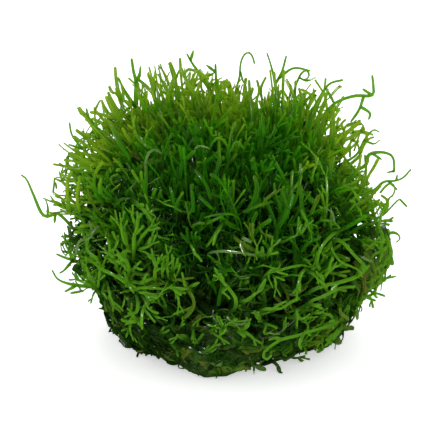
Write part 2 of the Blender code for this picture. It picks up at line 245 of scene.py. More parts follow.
# Colours as linear values
DEEP = (0.0070, 0.027, 0.0016, 1)
MIDDLE = (0.0215, 0.098, 0.0028, 1)
BRIGHT = (0.118, 0.345, 0.012, 1)
OLIVE = (0.100, 0.105, 0.010, 1)
THROUGH_DEEP = (0.09, 0.31, 0.015, 1)
THROUGH_BRIGHT = (0.53, 0.88, 0.12, 1)
CROWN_THROUGH = (0.24, 0.66, 0.038, 1)
CROWN_THROUGH_BRIGHT = (0.62, 0.80, 0.145, 1)
MAT_DEEP = (0.010, 0.030, 0.0025, 1)
MAT_GREEN = (0.037, 0.105, 0.007, 1)
MAT_BRIGHT = (0.110, 0.245, 0.014, 1)
CROWN_DEEP = (0.033, 0.125, 0.007, 1)
CROWN_MIDDLE = (0.039, 0.130, 0.008, 1)
CROWN_BRIGHT = (0.150, 0.320, 0.014, 1)
INNER_GREEN = (0.022, 0.070, 0.004, 1)
INNER_BRIGHT = (0.080, 0.240, 0.012, 1)
THREAD_COLOUR = (0.28, 0.32, 0.24, 1)
# Pale greens of painted sheen: the highlights on folded and wet ribbons
PAINTED_SHEEN_DEEP = (0.06, 0.15, 0.03, 1)
PAINTED_SHEEN_GREEN = (0.17, 0.32, 0.08, 1)

# Dark hollows between the ribbons: place in the photograph in pixels, and radius in millimetres
HOLLOWS = (
    (128, 222, 1.8), (275, 340, 2.4), (258, 343, 2.0), (283, 322, 2.4), (337, 263, 2.4), (330, 277, 1.8),
    (310, 215, 1.6), (245, 318, 1.5), (236, 313, 1.5), (288, 283, 2.0), (184, 284, 1.6), (214, 245, 1.8),
    (150, 312, 2.0), (172, 309, 2.2), (250, 305, 1.6), (226, 246, 1.4), (197, 258, 1.5), (140, 272, 1.6),
    (200, 300, 1.6), (300, 262, 1.6), (265, 292, 1.4), (215, 283, 1.8), (243, 265, 1.6), (322, 305, 1.8),
    (222, 350, 1.6), (180, 341, 1.4), (230, 262, 1.6), (275, 228, 1.6), (160, 244, 1.8), (205, 214, 1.5),
)
HOLLOW_LIFT = 0.8
HOLLOW_CLOSED = 0.85

# Places round the clump, in the photograph's pixels, where no tip of a blade shows, and their size
NO_TIPS = ((98, 88), (121, 68), (113, 60), (113, 70), (128, 64))
NO_TIPS_SIZE = 4

# Patches of painted light and painted shade on the clump, lit at its rims and the back of its crown and
# shaded on its front, partly also brighter young growth: middle, size and change
PAINTED_LIGHT_PATCHES = (
    (-34, -10, 22, 14, 0.25),
    (-22, -25, 17, 9, 0.20),
    (33, -10, 22, 12, 0.20),
    (0, -24, 44, 18, -0.22),
    (4, -30, 11, 14, 0.2),
    (0, 14, 64, 20, 0.6),
    (-32, 0, 48, 15, 0.45),
    (32, 0, 46, 14, 0.45),
    (33, -10, 14, 9, 0.4),
    (-14, 0, 60, 12, 0.12),
    (0, -12, 54, 15, 0.12),
    (-14, -22, 44, 12, -0.12),
    (-22, -24, 8, 9, -0.15),
    (-30, -16, 30, 12, 0.12),
    (26, -24, 18, 11, 0.15),
)


def unit(vectors):
    return vectors / np.maximum(np.linalg.norm(vectors, axis=-1, keepdims=True), 1e-9)


def dot(a, b):
    return np.sum(a * b, axis=-1, keepdims=True)


def between(rng, limits, count):
    return rng.uniform(limits[0], limits[1], count)


def ramp(values, low, high):
    """0 below low, 1 above high, and smooth between them."""
    share = np.clip((values - low) / (high - low), 0, 1)
    return share * share * (3 - 2 * share)


def lumps(points, size, phase):
    """Soft unevenness between -1 and 1, the same each run."""
    q = points / size
    waves = 0
    for axis, (rate, push, next_rate, next_phase, own_phase) in enumerate(WAVES):
        pushed = push * np.sin(q[..., (axis + 1) % 3] * next_rate + next_phase * phase)
        waves = waves + np.sin(q[..., axis] * rate + pushed + own_phase * phase)
    return waves / 3


def lengths_along(points):
    """How far each of the points is along the line through them."""
    return np.concatenate([[0], np.cumsum(np.linalg.norm(np.diff(points, axis=0), axis=1))])


def outline_swell(points):
    """How far the clump swells past its turned form, where the photograph's outline does."""
    above_foot = ramp(points[..., 2], *FOOT_HEIGHTS)
    azimuth = np.arctan2(points[..., 1], points[..., 0])
    base = np.interp(azimuth, BASE_ANGLES, BASE_SWELL, period=math.tau) * (1 - above_foot)
    away = unit(points - MAT_MIDDLE)
    right = away[..., 0]
    up = away[..., 1] * math.sin(CAMERA_ELEVATION) + away[..., 2] * math.cos(CAMERA_ELEVATION)
    edge = right**2 + up**2
    swell = edge**2 * np.interp(np.arctan2(up, right), SWELL_ANGLES, SWELL, period=math.tau)
    return base + swell * above_foot


def mat_depth(points):
    """Signed distance out of the mat's surface, and the direction out of it."""
    radius = np.hypot(points[..., 0], points[..., 1])
    spot = np.stack([radius, points[..., 2]], -1)
    starts, ends = MAT_OUTLINE[:-1], MAT_OUTLINE[1:]
    edge = ends - starts
    offset = spot[..., None, :] - starts
    share = np.clip(np.sum(offset * edge, -1) / np.sum(edge * edge, -1), 0, 1)
    gap = offset - share[..., None] * edge
    distance = np.linalg.norm(gap, axis=-1)
    nearest = np.argmin(distance, axis=-1)
    gap = np.take_along_axis(gap, nearest[..., None, None], axis=-2)[..., 0, :]
    edge = edge[nearest]
    outward = np.stack([edge[..., 1], -edge[..., 0]], -1)
    inside = np.sum(gap * outward, -1) < 0
    depth = np.take_along_axis(distance, nearest[..., None], axis=-1)[..., 0] * np.where(inside, -1, 1)
    off_surface = np.abs(depth)[..., None] > ON_SURFACE
    slope = unit(np.where(off_surface, gap * np.sign(depth)[..., None], unit(outward)))
    around = unit(points[..., :2])
    normal = np.concatenate([around * slope[..., :1], slope[..., 1:]], -1)
    depth = depth - MAT_LUMP_HEIGHT * lumps(points, *MAT_LUMPS) - outline_swell(points)
    return depth, normal


def picture_ray(across, down):
    """From the camera through a place in the photograph, given in its pixels."""
    back = np.array((0.0, -math.cos(CAMERA_ELEVATION), math.sin(CAMERA_ELEVATION)))
    up = np.array((0.0, math.sin(CAMERA_ELEVATION), math.cos(CAMERA_ELEVATION)))
    right = np.array((1.0, 0.0, 0.0))
    eye = np.array(CAMERA_AIM) + back * CAMERA_DISTANCE
    across = (np.asarray(across, dtype=float)[..., None] - IMAGE_PIXELS / 2) * MM_PER_PIXEL
    up_by = (IMAGE_PIXELS / 2 - np.asarray(down, dtype=float)[..., None]) * MM_PER_PIXEL
    return eye, right * across + up * up_by - back * CAMERA_DISTANCE


def pictured(points):
    """The pixels of the photograph at which places are seen."""
    eye, ahead = picture_ray([IMAGE_PIXELS / 2], [IMAGE_PIXELS / 2])
    ahead = ahead[0] / CAMERA_DISTANCE
    offset = points - np.array(CAMERA_AIM)
    away = (points - eye) @ ahead
    up = offset[..., 1] * math.sin(CAMERA_ELEVATION) + offset[..., 2] * math.cos(CAMERA_ELEVATION)
    scale = CAMERA_DISTANCE / away / MM_PER_PIXEL
    return IMAGE_PIXELS / 2 + np.stack([offset[..., 0] * scale, -up * scale], -1)


def without_strays(rings):
    """The ribbons apart from those whose tips show where the photograph has none."""
    tips = pictured(rings.centre[:, -1])
    apart = np.linalg.norm(tips[:, None] - np.array(NO_TIPS), axis=-1)
    return rings.rows(np.all(apart > NO_TIPS_SIZE, axis=1))


def seen(across, down, lift, slope=None):
    """The places that the photograph shows at its pixels, at a share of the tips' reach above the mat.

    With a slope, they are one after the other on a line that goes no steeper into the picture.
    """
    eye, ray = picture_ray(across, down)
    share = np.linspace(*SIGHT, SIGHT_STEPS)
    line = eye + ray[..., None, :] * share[:, None]
    above = mat_depth(line)[0] - np.asarray(lift)[..., None] * np.interp(line[..., 2], REACH_HEIGHTS, REACH)
    first = np.argmax(above < 0, axis=-1)
    first = np.where(np.any(above < 0, axis=-1), first, np.argmin(above, axis=-1))
    away = share[first] * CAMERA_DISTANCE
    if slope:
        most = slope * MM_PER_PIXEL * np.hypot(np.diff(across), np.diff(down))
        middle = len(away) // 2
        for k in range(middle + 1, len(away)):
            away[k] = np.clip(away[k], away[k - 1] - most[k - 1], away[k - 1] + most[k - 1])
        for k in range(middle - 1, -1, -1):
            away[k] = np.clip(away[k], away[k + 1] - most[k], away[k + 1] + most[k])
    return eye + ray * away[..., None] / CAMERA_DISTANCE


def openness(points):
    """1 where tips reach out freely, less in the dark hollows of the tangle."""
    room = np.ones(points.shape[:-1])
    for middle, size in zip(HOLLOW_PLACES, HOLLOWS):
        away = np.sum((points - middle) ** 2, axis=-1)
        room = room * (1 - HOLLOW_CLOSED * np.exp(-((away / size[2] ** 2) ** 2)))
    return room


def surface_spots(count, heights, azimuths):
    """Even spots on the mat between two heights and two azimuths in degrees, with the direction out of it."""
    along = np.linspace(0, 1, OUTLINE_STEPS)
    lengths = lengths_along(MAT_OUTLINE)
    radius = np.interp(along * lengths[-1], lengths, MAT_OUTLINE[:, 0])
    height = np.interp(along * lengths[-1], lengths, MAT_OUTLINE[:, 1])
    area = np.cumsum(radius * ((height >= heights[0]) & (height <= heights[1])))
    index = np.arange(count)
    place = np.interp((index * EVEN_STEPS[0]) % 1 * area[-1], area, along)
    radius = np.interp(place, along, radius)
    height = np.interp(place, along, height)
    azimuth = np.radians(azimuths[0] + (index * EVEN_STEPS[1]) % 1 * (azimuths[1] - azimuths[0]))
    points = np.stack([radius * np.cos(azimuth), radius * np.sin(azimuth), height], -1)
    depth, normal = mat_depth(points)
    return points - normal * depth[:, None], normal


HOLLOW_PLACES = seen(*np.array(HOLLOWS)[:, :2].T, [HOLLOW_LIFT] * len(HOLLOWS))


class Rows:
    """Columns of values with one row for each ribbon."""

    def __init__(self, **columns):
        self.__dict__.update(columns)

    def rows(self, index):
        return Rows(**{name: column[index] for name, column in self.__dict__.items()})

    @staticmethod
    def joined(parts):
        names = parts[0].__dict__
        return Rows(**{name: np.concatenate([getattr(part, name) for part in parts]) for name in names})


def growth(**changes):
    """A habit of growth: pressed ribbons that don't fork, apart from what is changed."""
    plain = dict(
        lengths=None, shares=None, forks=(0,), rise=0.0, outward=0.0, stray=1.0, bend_face=0.02, twist=0.02,
        press=0, steps=4, blunt=0.9, spread=(0.9, 1.1), sparse=1.0, clump=0.0, facing=0.8,
    )
    return SimpleNamespace(**{**plain, **changes})


# How each part of the clump grows, with angles in degrees and bends in radians a millimetre
CROWN = growth(
    plants=420, seed=10, heights=(31, 60), root=(-10.0, -6.0), single=1.55, forks=(0.6, 0.42, 0), rise=1.0,
    shares=((0.5, 0.62), (0.3, 0.42), (0.14, 0.24)), stray=0.2, width=(0.72, 1.04), thick=0.42, angle=(9, 23),
    bend_side=0.035, bend_face=0.06, twist=0.06, steps=5, blunt=0.8, spread=(0.04, 1.2), sparse=2.5,
    clump=0.25, facing=0.35,
)
FLANK = growth(
    plants=142, seed=20, heights=(5, 44), root=(-4.0, 1.0), forks=(1.0, 0.85, 0.6, 0), rise=0.25, outward=1.0,
    lengths=((3.4, 5.4), (2.8, 4.4), (2.0, 3.6), (1.5, 2.8)), stray=0.9, width=(0.68, 1.02), thick=0.4,
    angle=(22, 38), bend_side=0.24, bend_face=0.2, twist=0.15, steps=5, blunt=1.0, spread=(0.35, 1.05),
    sparse=1.2, clump=0.4, facing=0.6,
)
PRESSED = growth(
    plants=800, seed=31, heights=(0, 16), root=(-0.4, 0.35), lengths=((4.0, 7.0), (2.5, 4.5)), forks=(0.7, 0),
    width=(0.9, 1.9), thick=0.4, angle=(10, 26), bend_side=0.14, press=0.85,
)
INNER = growth(
    plants=800, seed=41, heights=(2, 58), root=(-8.0, -4.0), lengths=((12.0, 18.0),), width=(1.5, 2.4),
    thick=0.2, bend_side=0.12, press=0.6,
)
LYING = growth(
    plants=150, seed=51, heights=(1, 15), root=(0.2, 0.9), lengths=((2.8, 4.6), (2.0, 3.4), (1.4, 2.6)),
    forks=(1.0, 0.7, 0), rise=0.35, outward=0.15, width=(0.8, 1.2), thick=0.3, angle=(18, 34), bend_side=0.2,
    bend_face=0.08, twist=0.1, blunt=1.0, spread=(0.5, 1.1), clump=0.4, facing=2.0,
)


def sprouts(habit, azimuths, rng):
    """The first ribbon of each plant: where it is rooted, where it heads and how far its tips may reach."""
    count = habit.plants
    spot, normal = surface_spots(count, habit.heights, azimuths)
    heading = normal * habit.outward + UP * habit.rise + unit(rng.normal(size=spot.shape)) * habit.stray
    if habit is CROWN:
        lean = np.interp(spot[:, 0], LEAN_PLACES, LEAN)[:, None] * rng.uniform(*LEAN_DRAW, (count, 1))
        low = ramp(BLADE_HEIGHTS[1] - spot[:, 2:], 0, BLADE_HEIGHTS[1] - BLADE_HEIGHTS[0])
        heading = heading + lean * unit(normal * (1, 1, 0)) * (1 + LOW_LEAN * low)
    heading = unit(heading)
    if habit.press:
        heading = unit(heading - dot(heading, normal) * normal)
    level = between(rng, habit.root, count)[:, None]
    share = habit.spread[0] + (habit.spread[1] - habit.spread[0]) * rng.random(count) ** habit.sparse
    share = share * (1 + habit.clump * lumps(spot, *LENGTH_LUMPS))
    reach = (np.interp(spot[:, 2], REACH_HEIGHTS, REACH) * np.minimum(share, MOST_REACH))[:, None]
    if habit.shares:
        longest = np.interp(spot[:, 2:], BLADE_HEIGHTS, LONGEST_BLADE)
        total = np.minimum((reach - level) / np.maximum(dot(heading, normal), LEAST_RISE), longest)
        root = spot + normal * reach - heading * total
    else:
        total = np.full((count, 1), sum(limits[1] for limits in habit.lengths))
        root = spot + normal * level
    facing = normal * habit.facing + unit(rng.normal(size=spot.shape))
    return Rows(
        start=root,
        heading=heading,
        face=unit(facing - dot(facing, heading) * heading),
        width=between(rng, habit.width, count),
        total=total[:, 0],
        limit=reach[:, 0],
        level=level[:, 0],
        grown=np.zeros(count),
        tone=rng.normal(size=count),
        blunt=rng.random(count) < habit.blunt,
    )


def press_flat(spot, heading, face, level, depth, normal, press):
    """Lays ribbons along the mat, and deeper in it on its underside."""
    heading = unit(heading - dot(heading, normal) * normal)
    below = ramp(-normal[:, 2:], *UNDERSIDE)
    level = np.minimum(level, PRESSED_LEVEL - UNDERSIDE_DEPTH * below)
    spot = spot + normal * (level - depth) * press
    return spot, heading, unit(face * FACE_KEPT + normal)


def hold_back(spot, heading, limit, depth, normal, slack):
    """Turns ribbons aside that would reach past the tips, and pushes them back."""
    past = depth - slack - limit * openness(spot)[:, None]
    heading = unit(heading - normal * np.maximum(dot(heading, normal), 0) * ramp(past, *TURN_BACK))
    return spot - normal * np.maximum(past, 0) * PUSH_BACK, heading


def ribbon_profile(share, is_tip, is_blunt):
    """The share of its full width that a ribbon has along its length."""
    blunt = np.where(share > LAST_RING, BLUNT_END, 1.0)
    pointed = 1 - POINTED * share**2
    flared = 1 + FLARE * ramp(share, FLARE_FROM, 1.0)
    end = np.where(is_tip, np.where(is_blunt, blunt, pointed), flared)
    return end * (ROOT_WIDTH + ROOT_WIDENS * ramp(share, 0.0, ROOT_UNTIL))


def stretch(rows, length, habit, rng, forks):
    """Grows each row's ribbon to its length, and returns its rings."""
    count = len(rows.start)
    steps = habit.steps
    centre = np.empty((count, steps + 1, 3))
    headings = np.empty_like(centre)
    faces = np.empty_like(centre)
    spot, heading, face = rows.start, rows.heading, rows.face
    share = np.ones((count, steps + 1))
    share[:, :-1] = np.linspace(0, 1, steps) * (1 - ROUND_END * rows.width / length)[:, None]
    strides = np.diff(share, axis=1, append=1.0)
    bend_side, bend_face, twist = [
        rng.normal(scale=scale, size=(count, 1)) for scale in (habit.bend_side, habit.bend_face, habit.twist)
    ]
    sway = rng.uniform(*SWAY, size=(count, 1))
    for k in range(steps + 1):
        centre[:, k], headings[:, k], faces[:, k] = spot, heading, face
        stride = (strides[:, k] * length)[:, None]
        across = np.cross(face, heading)
        swing = 1 - sway * share[:, k:k + 1]
        heading = unit(heading + (bend_side * across + bend_face * swing * face) * stride)
        depth, normal = mat_depth(spot)
        depth = depth[:, None]
        if habit.press:
            level = rows.level[:, None]
            spot, heading, face = press_flat(spot, heading, face, level, depth, normal, habit.press)
        else:
            slack = BLADE_SLACK if habit.shares else 0.0
            spot, heading = hold_back(spot, heading, rows.limit[:, None], depth, normal, slack)
        lying = ramp(NEAR_FLOOR - spot[:, 2:], 0, NEAR_FLOOR)
        heading = unit(heading + UP * lying * np.maximum(-heading[:, 2:], 0) * FLOOR_LIFT)
        spot = spot + heading * stride
        face = unit(face + across * twist * stride)
        face = unit(face - dot(face, heading) * heading)
    profile = ribbon_profile(share, ~forks[:, None], rows.blunt[:, None])
    travelled = rows.grown[:, None] + length[:, None] * share
    return Rows(
        centre=centre,
        heading=headings,
        face=faces,
        width=rows.width[:, None] * profile,
        thick=habit.thick * rows.width[:, None] * (1 - THINS_OUT + THINS_OUT * profile),
        along=np.clip(travelled / rows.total[:, None], 0, MOST_ALONG),
        tone=np.repeat(rows.tone[:, None], steps + 1, 1),
        fresh=np.zeros((count, steps + 1)),
    )


def fork_off(rows, rings, length, habit, rng):
    """The two ribbons that go on from each ribbon's end."""
    end, heading, face = rings.centre[:, -1], rings.heading[:, -1], rings.face[:, -1]
    across = np.cross(face, heading)
    width = rows.width[:, None]
    children = []
    for sign in (-1, 1):
        angle = np.radians(between(rng, habit.angle, len(end)))[:, None] * sign
        lift = FORK_LIFT * face * rng.normal(size=angle.shape)
        child = rows.rows(slice(None))
        child.heading = unit(heading * np.cos(angle) + across * np.sin(angle) + lift)
        child.start = end + across * sign * FORK_APART * width - heading * FORK_OVERLAP * width
        child.face = unit(face - dot(face, child.heading) * child.heading)
        child.width = rows.width * rng.uniform(*FORK_WIDTHS, len(end))
        child.grown = rows.grown + length
        children.append(child)
    return Rows.joined(children)


def grown(habit, azimuths, quarter=0):
    """All the ribbons of a habit's plants between two azimuths, as rings."""
    rng = np.random.default_rng(SEED + habit.seed + quarter)
    rows = sprouts(habit, azimuths, rng)
    parts = []
    for level, chance in enumerate(habit.forks):
        if habit.shares:
            length = rows.total * between(rng, habit.shares[level], len(rows.total))
        else:
            length = between(rng, habit.lengths[level], len(rows.total))
        forks = rng.random(len(length)) < chance
        if habit.shares and level == 0:
            length = np.where(forks, length, length * habit.single)
        rings = stretch(rows, length, habit, rng, forks)
        parts.append(rings)
        if not np.any(forks):
            break
        rows = fork_off(rows.rows(forks), rings.rows(forks), length[forks], habit, rng)
    return Rows.joined(parts)


def painted_light_and_tone(points):
    """How much brighter or darker the growth is here than elsewhere: tone that varies at random in lumps, and
    patches of painted light and painted shade.
    """
    gain = LIGHT_UNEVEN * lumps(points, *LIGHT_LUMPS)
    for x, y, z, size, change in PAINTED_LIGHT_PATCHES:
        away = np.sum((points - (x, y, z)) ** 2, axis=-1)
        gain = gain + change * np.exp(-away / size**2)
    return gain


def bake_layout(count, ring_count, sides):
    """Texture places for each corner of the ribbons: a cell for each ribbon, unrolled around and along it."""
    cells = math.ceil(math.sqrt(count))
    around = np.arange(sides + 1) / sides
    along = np.linspace(CELL_ENDS, 1 - CELL_ENDS, ring_count)
    quads = []
    for k in range(ring_count - 1):
        for j in range(sides):
            quads += [(around[j], along[k]), (around[j + 1], along[k]), (around[j + 1], along[k + 1]),
                      (around[j], along[k + 1])]
    fans = []
    for j in range(sides):
        fans += [((around[j] + around[j + 1]) / 2, 0.0), (around[j + 1], along[0]), (around[j], along[0])]
    for j in range(sides):
        fans += [(around[j], along[-1]), (around[j + 1], along[-1]), ((around[j] + around[j + 1]) / 2, 1.0)]
    index = np.arange(count)
    corner = np.stack([index % cells, index // cells], -1)[:, None] + CELL_MARGIN
    places = [(corner + (1 - 2 * CELL_MARGIN) * np.array(part)[None]) / cells for part in (quads, fans)]
    return np.concatenate([part.reshape(-1) for part in places])


def ribbon_corners(rings, section):
    """The corners of closed flat ribbons: a section at each of their rings, and a point at each end."""
    count, ring_count = rings.width.shape
    across = np.cross(rings.face, rings.heading) * rings.width[..., None] / 2
    above = rings.face * rings.thick[..., None] / 2
    corners = np.stack([rings.centre + across * x + above * y for x, y in section], axis=2)
    first = rings.centre[:, :1] - rings.heading[:, :1] * rings.width[:, :1, None] * ROOT_CAP
    last = rings.centre[:, -1:] + rings.heading[:, -1:] * rings.width[:, -1:, None] * TIP_CAP
    verts = np.concatenate([corners.reshape(count, ring_count * len(section), 3), first, last], axis=1)
    verts[..., 2] = np.maximum(verts[..., 2], FLOOR_GAP)
    return verts


def ribbon_faces(count, ring_count, sides):
    """The four-sided faces along the ribbons, and the triangles that close their ends."""
    ring = np.arange(ring_count - 1)[:, None] * sides
    side = np.arange(sides)[None, :]
    after = (side + 1) % sides
    quads = np.stack([ring + side, ring + after, ring + sides + after, ring + sides + side], -1)
    last_ring = (ring_count - 1) * sides
    first, last = ring_count * sides, ring_count * sides + 1
    fans = [(first, (j + 1) % sides, j) for j in range(sides)]
    fans += [(last_ring + j, last_ring + (j + 1) % sides, last) for j in range(sides)]
    shift = np.arange(count)[:, None, None] * (ring_count * sides + 2)
    return (quads.reshape(-1, 4) + shift).reshape(-1, 4), (np.array(fans) + shift).reshape(-1, 3)


def add_values(mesh, name, values):
    """Gives each corner of a mesh its value, for the material to read."""
    layer = mesh.attributes.new(name, "FLOAT", "POINT")
    layer.data.foreach_set("value", values.astype(np.float32))


def ribbon_mesh(name, rings, section=SECTION):
    """One mesh of closed flat ribbons, and the values that colour it."""
    count, ring_count = rings.width.shape
    sides = len(section)
    verts = ribbon_corners(rings, section).reshape(-1)
    quads, fans = ribbon_faces(count, ring_count, sides)
    face_corners = np.concatenate([quads.reshape(-1), fans.reshape(-1)])
    starts = np.concatenate([np.arange(len(quads)) * 4, len(quads) * 4 + np.arange(len(fans)) * 3])
    mesh = bpy.data.meshes.new(name)
    mesh.vertices.add(len(verts) // 3)
    mesh.vertices.foreach_set("co", (verts * MM).astype(np.float32))
    mesh.loops.add(len(face_corners))
    mesh.loops.foreach_set("vertex_index", face_corners.astype(np.int32))
    mesh.polygons.add(len(starts))
    mesh.polygons.foreach_set("loop_start", starts.astype(np.int32))
    mesh.polygons.foreach_set("use_smooth", np.ones(len(starts), dtype=bool))
    mesh.update(calc_edges=True)
    layout = mesh.uv_layers.new(name="OFBake")
    layout.data.foreach_set("uv", bake_layout(count, ring_count, sides).astype(np.float32))

    depth = mat_depth(rings.centre)[0]
    # Brightness for the material: young growth, with the painted light and painted shade of the patches and
    # of each ribbon's listed brightness
    fresh = painted_light_and_tone(rings.centre) + rings.fresh
    values = {"along": rings.along, "tone": rings.tone, "depth": depth, "fresh": fresh}
    for key, value in values.items():
        per_corner = np.repeat(value, sides, axis=1)
        column = np.concatenate([per_corner, value[:, :1], value[:, -1:]], axis=1)
        add_values(mesh, key, column.reshape(-1))
    return mesh


def add_piece(name, mesh, material, nodes):
    piece = bpy.data.objects.new(name, mesh)
    bpy.context.scene.collection.objects.link(piece)
    mesh.materials.append(material)
    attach(piece, "root")
    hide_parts(*nodes)


def add_tangle(name, rings, material, section=SECTION):
    """A piece of the tangled mass, made of ribbons."""
    add_piece(name, ribbon_mesh(name, rings, section), material, ["cushion"])


class Nodes:
    """A short way to add shader nodes and join them."""

    def __init__(self, material):
        self.tree = material.node_tree
        self.tree.nodes.clear()

    def fill(self, node, inputs):
        for key, value in inputs.items():
            if isinstance(value, bpy.types.NodeSocket):
                self.tree.links.new(value, node.inputs[key])
            else:
                node.inputs[key].default_value = value

    def add(self, kind, inputs=None, **settings):
        node = self.tree.nodes.new(kind)
        for key, value in settings.items():
            setattr(node, key, value)
        self.fill(node, inputs or {})
        return node

    def math(self, operation, a, b=0.0, c=0.0):
        return self.add("ShaderNodeMath", {0: a, 1: b, 2: c}, operation=operation).outputs[0]

    def mix(self, share, a, b):
        return self.add("ShaderNodeMix", {0: share, 6: a, 7: b}, data_type="RGBA").outputs[2]

    def noise(self, place, scale, detail):
        return self.add("ShaderNodeTexNoise", {"Vector": place, "Scale": scale, "Detail": detail}).outputs[0]

    def value(self, name):
        return self.add("ShaderNodeAttribute", attribute_name=name).outputs["Fac"]

    def spread(self, value, low, high, to_low=0.0, to_high=1.0):
        inputs = {"Value": value, "From Min": low, "From Max": high, "To Min": to_low, "To Max": to_high}
        return self.add("ShaderNodeMapRange", inputs, interpolation_type="SMOOTHSTEP").outputs[0]


# How each kind of ribbon looks: its colours from old and shaded to young, the two that light takes on in
# passing it, how far its youth and painted shade follow its depth, its length and its own tone, and its share
# of light let through
GREEN_LOOK = SimpleNamespace(
    colours=(DEEP, MIDDLE, BRIGHT), passed=(THROUGH_DEEP, THROUGH_BRIGHT), youth=0.0, by_depth=0.95,
    by_length=0.3, by_tone=0.12, glow=0.42, roughness=0.27, specular=0.35, coat=0.3,
)
CROWN_LOOK = SimpleNamespace(
    colours=(CROWN_DEEP, CROWN_MIDDLE, CROWN_BRIGHT), passed=(CROWN_THROUGH, CROWN_THROUGH_BRIGHT), youth=0.3,
    by_depth=0.25, by_length=0.15, by_tone=0.08, glow=0.68, roughness=0.32, specular=0.3, coat=0.2,
)
MAT_LOOK = SimpleNamespace(
    colours=(MAT_DEEP, MAT_GREEN, MAT_BRIGHT), passed=(THROUGH_DEEP, THROUGH_DEEP), youth=0.1, by_depth=0.8,
    by_length=0.5, by_tone=0.2, glow=0.12, roughness=0.3, specular=0.4, coat=0.4,
)
PAD_LOOK = SimpleNamespace(
    colours=(MAT_DEEP, MAT_GREEN, MAT_BRIGHT), passed=(THROUGH_DEEP, THROUGH_DEEP), youth=0.1, by_depth=0.8,
    by_length=0.3, by_tone=0.0, glow=0.05, roughness=0.35, specular=0.35, coat=0.3,
)
INNER_LOOK = SimpleNamespace(
    colours=(MAT_DEEP, INNER_GREEN, INNER_BRIGHT), passed=(THROUGH_DEEP, THROUGH_DEEP), youth=0.3,
    by_depth=0.3, by_length=0.0, by_tone=0.12, glow=0.03, roughness=0.7, specular=0.05, coat=0.0,
)
# Painted sheen: a pale look that stands for highlights on wet ribbons
PAINTED_SHEEN_LOOK = SimpleNamespace(
    colours=(PAINTED_SHEEN_DEEP, PAINTED_SHEEN_GREEN, PAINTED_SHEEN_GREEN), passed=(PAINTED_SHEEN_GREEN, PAINTED_SHEEN_GREEN), youth=0.3, by_depth=0.3,
    by_length=0.0, by_tone=0.05, glow=0.3, roughness=0.22, specular=0.9, coat=0.3,
)
THREAD_LOOK = SimpleNamespace(
    colours=(THREAD_COLOUR,) * 3, passed=(THREAD_COLOUR,) * 2, youth=0.5, by_depth=0.0, by_length=0.0,
    by_tone=0.0, glow=0.5, roughness=0.2, specular=0.5, coat=0.0,
)

# The tissue: scales of its textures, how youth and painted shade follow depth, patches and length, and which
# tones are olive
PATCH_SCALE = 160.0
MOTTLE_SCALE = 900.0
CELL_SCALE = 5200.0
AGE_AND_SHADE_DEPTHS = (-3.0, 9.0)
OLDER = 0.2
YOUTH_BY_PATCHES = 0.4
YOUTH_MID_LENGTH = 0.6
TO_MIDDLE = (0.0, 0.5)
TO_BRIGHT = (0.45, 1.0)
TO_PASSED = (0.3, 0.95)
OLIVE_TONES = (1.8, 2.2)
OLIVE_SHARE = 0.7
MOTTLE_RANGE = (0.35, 0.75)
MOTTLE_SHARE = 0.3
ROUGH_RANGE = (0.3, 0.7)
SMOOTHER = 0.1
ROUGHER = 0.12
RELIEF_BY_MOTTLE = 0.6
RELIEF_BY_CELLS = 0.5
RELIEF_STRENGTH = 0.35
RELIEF_METRES = 0.0001


def youth_and_painted_light(nodes, look, place):
    """How young the tissue is, most at the tips and far out of the mat, with painted shade deep in the mat
    and painted light from its brightness values.
    """
    patches = nodes.noise(place, PATCH_SCALE, 3.0)
    oldest = look.youth - OLDER
    # Painted shade as well as age: darker the deeper a place lies in the clump
    by_depth = nodes.spread(nodes.value("depth"), *AGE_AND_SHADE_DEPTHS, oldest, oldest + look.by_depth)
    young_and_lit = nodes.math("MULTIPLY_ADD", patches, YOUTH_BY_PATCHES, by_depth)
    young_and_lit = nodes.math("MULTIPLY_ADD", nodes.value("along"), look.by_length, young_and_lit)
    young_and_lit = nodes.math("SUBTRACT", young_and_lit, look.by_length * YOUTH_MID_LENGTH)
    young_and_lit = nodes.math("MULTIPLY_ADD", nodes.value("tone"), look.by_tone, young_and_lit)
    return nodes.math("ADD", nodes.value("fresh"), young_and_lit)


